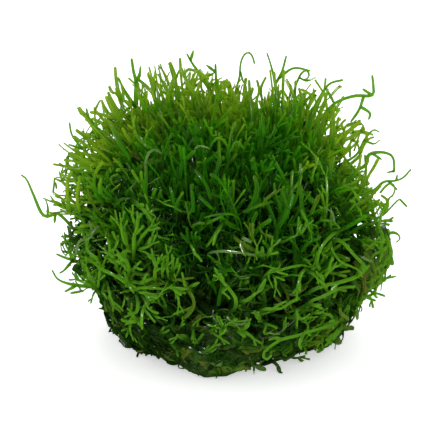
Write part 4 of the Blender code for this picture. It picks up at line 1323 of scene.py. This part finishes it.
# Blades on the crown and at its edges
CROWN_RIBBONS = (
    tip(1, 0.1, (147, 200), (146, 190), (146, 178), (146, 166)),
    bridge(1, 0.15, (154, 149), (147, 146), (142, 141), (139, 136)),
    tip(0.9, 0.25, (166, 150), (167, 144), (170, 138), (173, 133)),
    tip(1, 0.3, (176, 208), (178, 201), (181, 196), (183, 192)),
    tip(1, 0.05, (176, 212), (174, 203), (172, 194), (170, 187)),
    tip(0.7, 0.6, (110, 193), (114, 189), (120, 184)),
    tip(1.2, 0.25, (214, 178), (217, 168), (219, 160), (219, 149), (219, 140)),
    bridge(0.8, 0.2, (210, 147), (213, 142), (218, 138), (223, 140), (228, 147)),
    tip(1, 0.3, (227, 158), (229, 146), (231, 135), (235, 123)),
    bridge(0.8, 0.3, (231, 151), (234, 144), (238, 142), (244, 149)),
    tip(1, 0.2, (199, 148), (200, 138), (200, 130), (202, 121)),
    tip(1.1, 0.15, (253, 170), (253, 163), (254, 157)),
    tip(1.3, 0.15, (247, 213), (252, 204), (256, 195), (257, 185), (254, 176)),
    tip(1.1, 0.05, (211, 199), (208, 189), (203, 180), (195, 170)),
    tip(1, 0.1, (222, 184), (217, 178), (210, 174)),
    tip(1.1, 0.05, (284, 188), (283, 177), (279, 169), (275, 162)),
    tip(1.1, 0.1, (281, 212), (278, 202), (275, 192), (274, 183)),
    tip(1.3, 0.2, (293, 205), (297, 196), (299, 186), (301, 175)),
    tip(1, 0.1, (308, 222), (303, 211), (301, 199), (301, 186)),
    tip(0.9, 0.5, (311, 183), (313, 174), (316, 165)),
    bridge(0.8, 0.45, (243, 212), (253, 208), (263, 204), (273, 202)),
    tip(1, 0.15, (262, 207), (266, 200), (271, 195), tone=2.1),
    tip(1.2, 0, (193, 212), (193, 201), (192, 190)),
    bridge(1.1, 0.1, (199, 196), (205, 202), (213, 209)),
    tip(1.1, 0.05, (287, 219), (288, 208), (287, 198)),
    tip(1.1, 0.1, (264, 134), (263, 126), (262, 116)),
    tip(1.2, 0.5, (330, 178), (331, 167), (334, 157)),
    tip(1.1, 0.1, (311, 214), (315, 205), (319, 195), tone=2.2),
    tip(0.8, 0.6, (326, 216), (324, 205), (321, 194)),
    tip(1.1, 0.6, (362, 192), (365, 180), (366, 168), (365, 155)),
    tip(1.1, 0.6, (345, 210), (355, 199), (363, 187), (369, 175), (374, 167), (378, 159)),
    tip(1.1, 0.4, (345, 180), (354, 175), (359, 166), (361, 154)),
    bridge(1, 0.3, (340, 218), (350, 212), (360, 204), (372, 195), (381, 185)),
    tip(0.9, 0.5, (384, 213), (388, 206), (387, 200), (381, 195)),
    tip(0.8, 0.45, (380, 193), (385, 187), (391, 183), (395, 188), (393, 195), (389, 198)),
    tip(1, 0.5, (361, 153), (364, 145), (369, 139), (374, 137)),
    bridge(0.8, 0.5, (350, 134), (357, 131), (366, 132), (373, 135)),
    tip(0.8, 0.45, (354, 151), (357, 142), (360, 133)),
    tip(0.9, 0.35, (350, 157), (350, 147), (351, 136), tone=1.9),
    tip(0.9, 0.5, (343, 135), (346, 126), (353, 123)),
    tip(1.1, 0.4, (332, 150), (333, 139), (334, 128), (333, 116)),
    tip(1, 0.4, (320, 146), (320, 134), (323, 121), (329, 114)),
    tip(1, 0.4, (292, 124), (297, 113), (305, 102), (316, 90)),
    tip(1.1, 0.3, (244, 120), (245, 106), (244, 92), (246, 78)),
    tip(1, 0.4, (122, 106), (119, 99), (117, 93), (116, 88)),
    tip(0.9, 0.4, (124, 102), (123, 92), (121, 84)),
    bridge(1.1, 0.35, (139, 80), (146, 86), (152, 93), (155, 101)),
    tip(1.1, 0.35, (157, 110), (155, 97), (153, 85), (148, 75)),
    tip(1, 0.35, (173, 108), (170, 97), (166, 88), (161, 79)),
    tip(1.1, 0.4, (179, 102), (177, 88), (174, 73), (169, 63)),
    tip(0.9, 0.35, (169, 104), (169, 93), (171, 84), (175, 75)),
    tip(1.3, 0.4, (197, 106), (194, 93), (188, 84), (184, 75), (180, 67)),
    tip(0.9, 0.4, (186, 81), (185, 74), (188, 69)),
    bridge(1.1, 0.5, (188, 69), (198, 72), (209, 79)),
    tip(1.1, 0.4, (197, 110), (194, 98), (193, 88), (194, 78)),
    tip(0.9, 0.4, (194, 100), (197, 91), (202, 81)),
    tip(0.9, 0.4, (223, 98), (225, 88), (227, 79)),
    tip(1.2, 0.4, (121, 116), (115, 106), (111, 99), (108, 92)),
    bridge(0.9, 0.45, (108, 112), (104, 106), (101, 100), (97, 106), (94, 113)),
    tip(0.8, 0.45, (96, 128), (95, 118), (94, 107)),
    tip(0.9, 0.45, (98, 138), (93, 128), (87, 118), (79, 107)),
    tip(1, 0.25, (252, 126), (252, 110), (250, 94), (249, 80)),
    tip(0.9, 0.35, (263, 112), (262, 100), (261, 88), (266, 77)),
    tip(1.1, 0.15, (275, 118), (274, 102), (272, 86), (270, 70)),
    tip(1, 0.2, (279, 112), (278, 98), (275, 84), (274, 72)),
    tip(1.1, 0.2, (282, 114), (283, 98), (283, 84), (284, 70)),
    tip(0.9, 0.15, (288, 120), (295, 106), (293, 94), (290, 84)),
    tip(1, 0.4, (308, 128), (313, 115), (319, 103), (324, 92)),
    tip(1, 0.45, (316, 136), (319, 120), (324, 104), (328, 89)),
    tip(1, 0.3, (312, 146), (316, 134), (320, 120)),
    tip(1, 0.35, (330, 144), (331, 130), (333, 118), (334, 107)),
    tip(0.9, 0.35, (256, 112), (257, 100), (259, 90), (257, 80)),
    tip(1, 0.3, (301, 126), (300, 112), (302, 100), (299, 88)),
    tip(1.1, 0.4, (316, 130), (318, 118), (322, 106), (326, 98)),
    tip(1.3, 0.45, (112, 158), (101, 150), (92, 143), (84, 136), (76, 130)),
    tip(1.2, 0.45, (116, 150), (106, 140), (98, 132), (90, 124), (84, 116)),
    tip(1, 0.45, (101, 158), (90, 155), (81, 153), (72, 149)),
    tip(1, 0.45, (99, 150), (88, 146), (80, 141), (74, 136)),
    tip(1.1, 0.5, (102, 168), (91, 164), (81, 159), (70, 154)),
    tip(1.2, 0.5, (98, 172), (86, 168), (75, 168), (63, 166)),
    tip(1, 0.5, (92, 166), (82, 163), (73, 161), (64, 160)),
    tip(1, 0.6, (80, 186), (74, 181), (68, 179), (61, 173)),
    bridge(1.2, 0.6, (70, 214), (68, 203), (67, 191), (68, 180), (72, 171)),
    bridge(1.1, 0.6, (80, 212), (77, 200), (78, 188), (80, 176)),
    tip(1, 0.5, (80, 210), (74, 206), (68, 203), (61, 198)),
    tip(1, 0.55, (84, 220), (75, 215), (67, 213), (60, 210)),
    tip(1.1, 0.35, (100, 200), (95, 190), (94, 180), (97, 170), (103, 162)),
    tip(0.9, 0.35, (108, 200), (102, 194), (100, 186), (101, 178)),
    tip(1.2, 0.2, (126, 150), (120, 140), (113, 130), (108, 120)),
    tip(1.2, 0.15, (130, 160), (124, 150), (117, 140), (112, 128)),
    tip(1.1, 0.4, (148, 112), (143, 104), (139, 96), (136, 88)),
    tip(1.1, 0.3, (120, 128), (117, 116), (112, 106), (108, 96)),
    tip(1.2, 0.35, (124, 112), (121, 100), (118, 90), (116, 78), (115, 67)),
    tip(1, 0.35, (121, 100), (117, 94), (112, 92), (109, 86)),
    tip(1, 0.35, (154, 100), (155, 88), (152, 78), (149, 67)),
    tip(1, 0.35, (171, 102), (172, 92), (168, 82), (163, 71)),
    tip(0.9, 0.35, (170, 96), (174, 84), (175, 74), (170, 62)),
    tip(1, 0.35, (183, 98), (182, 86), (181, 76), (180, 58)),
)

# Wide ribbons that lie pressed in the mat below
MAT_RIBBONS = (
    bridge(2.2, 0.15, (105, 312), (109, 321), (114, 330), (121, 338), (128, 344)),
    bridge(1.6, 0.35, (106, 307), (112, 317), (119, 327), (125, 337), (132, 344), tone=1.9),
    bridge(2.2, 0.1, (118, 322), (124, 332), (132, 340), (142, 345), (152, 347)),
    bridge(2.4, 0, (134, 326), (140, 334), (148, 341), (158, 346)),
    bridge(1.2, 0.2, (152, 339), (157, 347), (161, 357), tone=2.4),
    bridge(1, 0.3, (159, 338), (163, 347), (167, 356), tone=2.3),
    bridge(1.1, 0.3, (166, 340), (170, 349), (176, 357), tone=2.4),
    tip(1, 0.5, (178, 350), (174, 354), (167, 358), tone=2.2),
    tip(0.9, 0.1, (160, 352), (152, 351), (146, 351), tone=2.4),
    bridge(2, 0, (160, 350), (170, 354), (182, 356), tone=1.9),
    bridge(1.4, 0.35, (181, 362), (184, 355), (190, 350), (198, 348), tone=2.3),
    bridge(2.2, 0.1, (183, 361), (192, 366), (203, 369), (216, 370), (230, 368), (240, 366), tone=1.9),
    bridge(1.6, 0.3, (186, 357), (197, 362), (208, 364), (220, 362), tone=2.4),
    bridge(1.8, 0.15, (192, 354), (203, 358), (214, 358), (222, 354)),
    bridge(2.4, 0.1, (196, 346), (205, 351), (216, 349), (224, 344)),
    bridge(0.6, 0.4, (184, 361), (179, 364), (179, 368), (184, 368), (188, 366), tone=2.2),
    tip(1.3, 0.35, (223, 352), (224, 358), (228, 365)),
    bridge(2.6, 0, (228, 350), (236, 356), (246, 360), (256, 361)),
    bridge(1, 0.4, (229, 361), (236, 364), (244, 363), (252, 360), tone=2.2),
    tip(1, 0.35, (245, 358), (246, 365), (246, 371)),
    tip(0.5, 0.3, (254, 362), (254, 368), (254, 374)),
    bridge(1.6, 0.3, (245, 345), (244, 350), (252, 353), (262, 352), tone=2.3),
    bridge(1.3, 0.4, (252, 361), (258, 366), (264, 360), (270, 356)),
    bridge(2.4, 0, (262, 364), (274, 360), (286, 356), (298, 350)),
    tip(1, 0.1, (270, 360), (276, 364), (280, 370)),
    bridge(2.6, 0, (282, 352), (296, 350), (310, 345), (322, 338), tone=1.9),
    bridge(1.4, 0.25, (270, 350), (280, 346), (292, 344), (304, 338), tone=2.3),
    tip(0.9, 0.35, (288, 354), (294, 358), (301, 357)),
    bridge(2.2, 0.1, (305, 344), (318, 338), (330, 336), (342, 330)),
    tip(1.5, 0.35, (322, 334), (326, 328), (330, 320)),
    bridge(1.3, 0.3, (326, 337), (335, 333), (343, 329), (349, 325), tone=1.7),
    bridge(2.4, 0.2, (338, 300), (342, 311), (346, 322), (340, 332), tone=2.4),
    bridge(1.6, 0.25, (350, 300), (353, 309), (354, 317), (348, 325), tone=1.7),
    bridge(1.3, 0.4, (355, 302), (356, 310), (354, 318), tone=1.7),
    bridge(1.2, 0.35, (341, 296), (340, 308), (342, 320), tone=1.9),
    tip(0.8, 0.3, (343, 332), (343, 338), (341, 341)),
    bridge(1.8, 0.35, (104, 290), (106, 300), (108, 309), tone=1.9),
    bridge(2, 0.1, (109, 300), (113, 312), (119, 322)),
)

# Ribbons that are folded or lie wet, coloured paler as painted sheen: the highlights on them
PAINTED_SHEEN_RIBBONS = (
    bridge(0.9, 0, (209, 253), (220, 251), (232, 252), (243, 253), (255, 255), (268, 255)),
    bridge(1, 0, (99, 226), (93, 231), (90, 238), (80, 241), (77, 247), (76, 253)),
    tip(0.9, 0, (92, 232), (91, 226), (89, 221)),
    bridge(1.3, 0, (242, 238), (247, 240), (252, 242)),
    bridge(0.8, 0, (227, 316), (231, 321), (238, 324), (244, 323), (248, 318)),
    bridge(1, 0, (145, 170), (146, 161), (149, 153), (155, 150), (162, 154)),
    bridge(0.9, 0, (195, 149), (199, 146), (205, 147), (210, 149)),
    tip(0.9, 0, (334, 222), (333, 215), (331, 211)),
    bridge(1, 0, (358, 255), (364, 258), (372, 262)),
)

# The single thalli that stand clear, by node: a stem and its side branches, as (x, y, z)
THALLI = {
    "left_stray": [
        [(-37, -2, 27), (-40, -1, 29.6), (-42, -0.5, 31), (-44.3, 0, 30), (-45.8, 0, 31), (-47.6, 0, 35.8),
         (-49, 0, 39.4), (-50.3, 0, 40.6)],
        [(-44.3, 0, 30), (-44.2, 0.2, 32.5), (-44.8, 0.2, 34.6)],
        [(-42.4, -0.4, 30.8), (-42.6, -0.8, 28.6)],
    ],
    "left_low": [
        [(-33.5, -6, 14.5), (-38, -6.5, 15), (-41.5, -7, 16.5), (-43, -7, 19)],
        [(-37, -6.3, 14.9), (-40, -8, 13.8)],
    ],
    "left_fan": [
        [(-35.5, -4, 20), (-39, -5, 21), (-42, -5.5, 22.5)],
        [(-38, -4.7, 20.8), (-40, -7, 19), (-41.2, -7.6, 18.4)],
    ],
    "left_shoulder": [
        [(-32.5, 3, 43), (-35.5, 3, 46), (-38, 2.5, 49.5), (-38.6, 2, 53)],
        [(-35.5, 3, 46), (-39, 3, 47.2)],
    ],
    "left_crest": [
        [(-28.5, 4, 46.5), (-31.5, 4, 50), (-35, 4, 54.5), (-36.8, 4, 56)],
        [(-33.2, 4, 52.2), (-35, 5, 52.8)],
        [(-34.2, 4, 53.5), (-34.6, 3.6, 56)],
    ],
    "crown_left": [
        [(-22.6, 8, 52), (-23, 8, 57), (-22.9, 8, 61), (-23.5, 8, 63.9), (-23.9, 8, 67)],
        [(-23.2, 8, 55), (-25.4, 8.2, 58.4), (-27.2, 8.4, 62.2)],
        [(-22.9, 8, 61), (-22.1, 7.8, 63), (-21.8, 7.6, 65.2)],
    ],
    "crown_slant": [
        [(-13, 9, 55.5), (-13.6, 9, 60), (-15, 9, 65)],
        [(-13.8, 9, 61), (-12.6, 8.5, 64)],
    ],
    "crown_fork": [
        [(-4.6, 8, 57.5), (-7, 8, 62), (-9.6, 8, 66), (-10.8, 8, 68.2)],
        [(-9.9, 8, 66.6), (-9.2, 8, 69)],
        [(-7, 8, 62), (-4.4, 7.6, 63.5)],
    ],
    "crown_blade": [
        [(-3.4, 6, 57.8), (-3.8, 6, 62), (-4, 6, 66.2)],
        [(-3.9, 6, 64.2), (-6.2, 6, 66)],
    ],
    "crown_arch": [
        [(0.8, 9, 58.2), (1.7, 9, 62), (2, 9, 65.5), (2.8, 9, 67.6), (4, 9, 68.2), (4.9, 9, 67),
         (5.3, 9, 65.4)],
        [(1.9, 9, 63.6), (2.7, 8.6, 60.8)],
    ],
    "crown_cross": [
        [(10.6, 8, 57), (10, 8, 62), (9, 8, 66), (8.2, 8, 68.4)],
        [(10.2, 8, 60.5), (11.8, 7.4, 64), (12.8, 7, 68)],
        [(10.9, 7.8, 62), (14.5, 8, 64.6), (18.6, 8, 64)],
    ],
    "crown_curl": [
        [(15.5, 6, 54.8), (14.8, 6, 59.5), (15.7, 6, 62.6), (16.6, 6, 64.2), (17.7, 6, 64.6),
         (18.2, 6, 63.4), (17.4, 6, 62.4), (16.2, 6, 62.6)],
        [(15.9, 6, 62.9), (17.6, 6.4, 62), (19.8, 6.4, 62.8)],
    ],
    "right_bow": [
        [(18.6, 5, 53.8), (20.6, 5, 58), (23, 5, 61.6), (26.2, 5, 62.6)],
        [(22.2, 5, 60.6), (24, 4, 57.4), (24.6, 3.4, 55.4)],
    ],
    "right_stray": [
        [(20.6, 2, 53.4), (24, 2, 57.6), (28.6, 2, 59.5), (32.8, 2, 59.6), (33.2, 2, 61.4),
         (32.8, 2, 64.6)],
        [(32.6, 2, 59.9), (30.6, 1.6, 61.4)],
        [(31, 2, 59.5), (29.9, 1.7, 56.2), (28, 1.2, 53.4)],
        [(30.2, 1.8, 57), (32.4, 1.1, 55.6), (32.2, 1, 54)],
    ],
    "right_lattice": [
        [(29.4, 0, 45.6), (31.2, 0, 49.2), (33.2, 0, 51.7), (34.8, 0, 51.2)],
        [(31.2, 0, 49.2), (33.4, -0.8, 48.6), (34.8, -1, 49.6)],
    ],
    "right_hook": [
        [(31.4, -2, 43.6), (32.2, -2, 46.2), (34.6, -2, 46.9), (36.9, -2, 46.5), (38, -2, 45.4),
         (38.3, -2, 43.4), (38.3, -2, 41.9)],
        [(33, -2, 46.6), (35.2, -3, 45.4)],
        [(38.3, -2, 42.2), (36.6, -2.2, 41.9)],
    ],
    "right_reach": [
        [(33.4, -3, 37.6), (35.8, -3, 39.8), (38.4, -3, 40.1), (40.4, -3, 40.9), (42.2, -3, 43)],
        [(37, -3, 40), (39, -4, 38.2)],
        [(38.8, -3, 40.2), (39, -3, 41.6)],
    ],
    "right_arrow": [
        [(34.4, -2, 30.4), (36.4, -2, 31.4), (37.8, -2, 33), (39.6, -2, 35), (40.2, -2, 34.8),
         (41.7, -2, 33.2)],
    ],
    "right_curl": [
        [(34.6, -4, 24.8), (36.7, -4, 26.8), (38.5, -4, 27.4), (39.8, -4, 26.7), (40, -4, 25.7),
         (39.2, -4, 24.9)],
    ],
    "front_low": [
        [(24, -26.5, 14.4), (20.8, -29.8, 14), (17.5, -32.4, 14.1), (14.1, -33.9, 13.6), (11, -34.6, 13.1),
         (9, -35, 12), (7.5, -35.3, 10.8), (6.7, -35.4, 9.5), (7.7, -35.2, 8.4), (8.7, -35, 9.3)],
        [(16, -33.2, 13.9), (15, -34.6, 12), (15.4, -35, 10.8)],
        [(11, -34.6, 13.1), (9.4, -35.6, 13.9), (8, -36, 13.6)],
    ],
    "front_hang": [
        [(-19, -29, 20.5), (-20.5, -32.5, 18.8), (-20.6, -34.6, 15.6)],
        [(-20.2, -31.8, 19.4), (-17.6, -34.4, 17.2)],
    ],
    "front_upright": [
        [(-8.5, -33, 24), (-10.5, -36.4, 26.6), (-11.4, -37.6, 30.6)],
        [(-10.2, -36, 26.2), (-7.6, -38.2, 28.4)],
    ],
    "back_long": [
        [(9, 32, 33), (11, 36, 36.5), (12, 38.6, 40.5), (11.4, 40, 44)],
        [(11.2, 36.6, 37.2), (14.4, 38.6, 38.6)],
    ],
    "back_left": [
        [(-19, 27, 38), (-22, 31, 41.5), (-23.4, 34, 45.5)],
        [(-22, 31, 41.5), (-25.2, 32, 42.6)],
    ],
}
# The share of a full thallus's width, of those that are slender
SLENDER = {
    "crown_arch": 0.6, "crown_curl": 0.62, "crown_cross": 0.72, "crown_slant": 0.75, "crown_left": 1.05,
    "right_curl": 0.8, "right_hook": 0.8, "right_reach": 0.7, "right_bow": 0.75, "right_lattice": 0.62,
    "right_stray": 0.85, "right_arrow": 0.7, "left_shoulder": 0.75, "left_fan": 0.75, "back_left": 0.8,
}
THREAD_POINTS = ((6.0, -31.6, 12.4), (8.6, -34.2, 13.6), (12.0, -34.8, 16.2), (15.0, -33.0, 18.8))


make_camera()
make_world()
make_floor()
soft_light("back_light", BACK_LIGHT)
glint_light = soft_light("glint_light", GLINT_LIGHT)
glint_light.visible_diffuse = False
glint_light.visible_transmission = False
bpy.context.scene.view_settings.view_transform = "Standard"

green = thallus_material("thallus_green", GREEN_LOOK)
crown_green = thallus_material("crown_green", CROWN_LOOK)
mat_green = thallus_material("mat_green", MAT_LOOK)
pad_green = thallus_material("pad_green", PAD_LOOK)
inner_green = thallus_material("inner_green", INNER_LOOK)
painted_sheen_green = thallus_material("painted_sheen_green", PAINTED_SHEEN_LOOK)
thread_clear = thallus_material("thread_clear", THREAD_LOOK)

# Azimuths in degrees, anticlockwise from the right as seen from above
QUARTERS = {"front": (225, 315), "right": (-45, 45), "back": (45, 135), "left": (135, 225)}
ALL_ROUND = (0, 360)
SIDES_AND_BACK = (-45, 195)
for number, (quarter, azimuths) in enumerate(QUARTERS.items()):
    add_tangle("crown_" + quarter, without_strays(grown(CROWN, azimuths, number)), crown_green)
    add_tangle("flank_" + quarter, grown(FLANK, azimuths, number), green)
lying = grown(LYING, SIDES_AND_BACK)
# Brighter towards the tips: young growth, and painted light on the shaded base
lying.fresh += LYING_FRESH_AND_PAINTED_LIGHT * ramp(lying.along, *LYING_FRESH_AND_PAINTED_LIGHT_ALONG)
add_tangle("lying_ribbons", lying, green)
add_tangle("pressed_mat", grown(PRESSED, ALL_ROUND), mat_green)
inner = grown(INNER, ALL_ROUND)
# Painted light: the tangle under the crown made brighter, filling its shade
inner.fresh += UNDER_CROWN_PAINTED_LIGHT * ramp(inner.centre[..., 2], *UNDER_CROWN_HEIGHTS)
add_tangle("inner_tangle", inner, inner_green)
pressed_pad(pad_green)
single_thalli(green)
nylon_thread(thread_clear)
front_ribbons("front_ribbons", FRONT_RIBBONS, green, ON_FLANK)
front_ribbons("edge_ribbons", EDGE_RIBBONS, mat_green, ON_EDGE)
front_ribbons("crown_ribbons", CROWN_RIBBONS, crown_green, ON_CROWN)
front_ribbons("painted_sheen_ribbons", PAINTED_SHEEN_RIBBONS, painted_sheen_green, LYING_WET)
front_ribbons("mat_ribbons", MAT_RIBBONS, mat_green, IN_MAT)
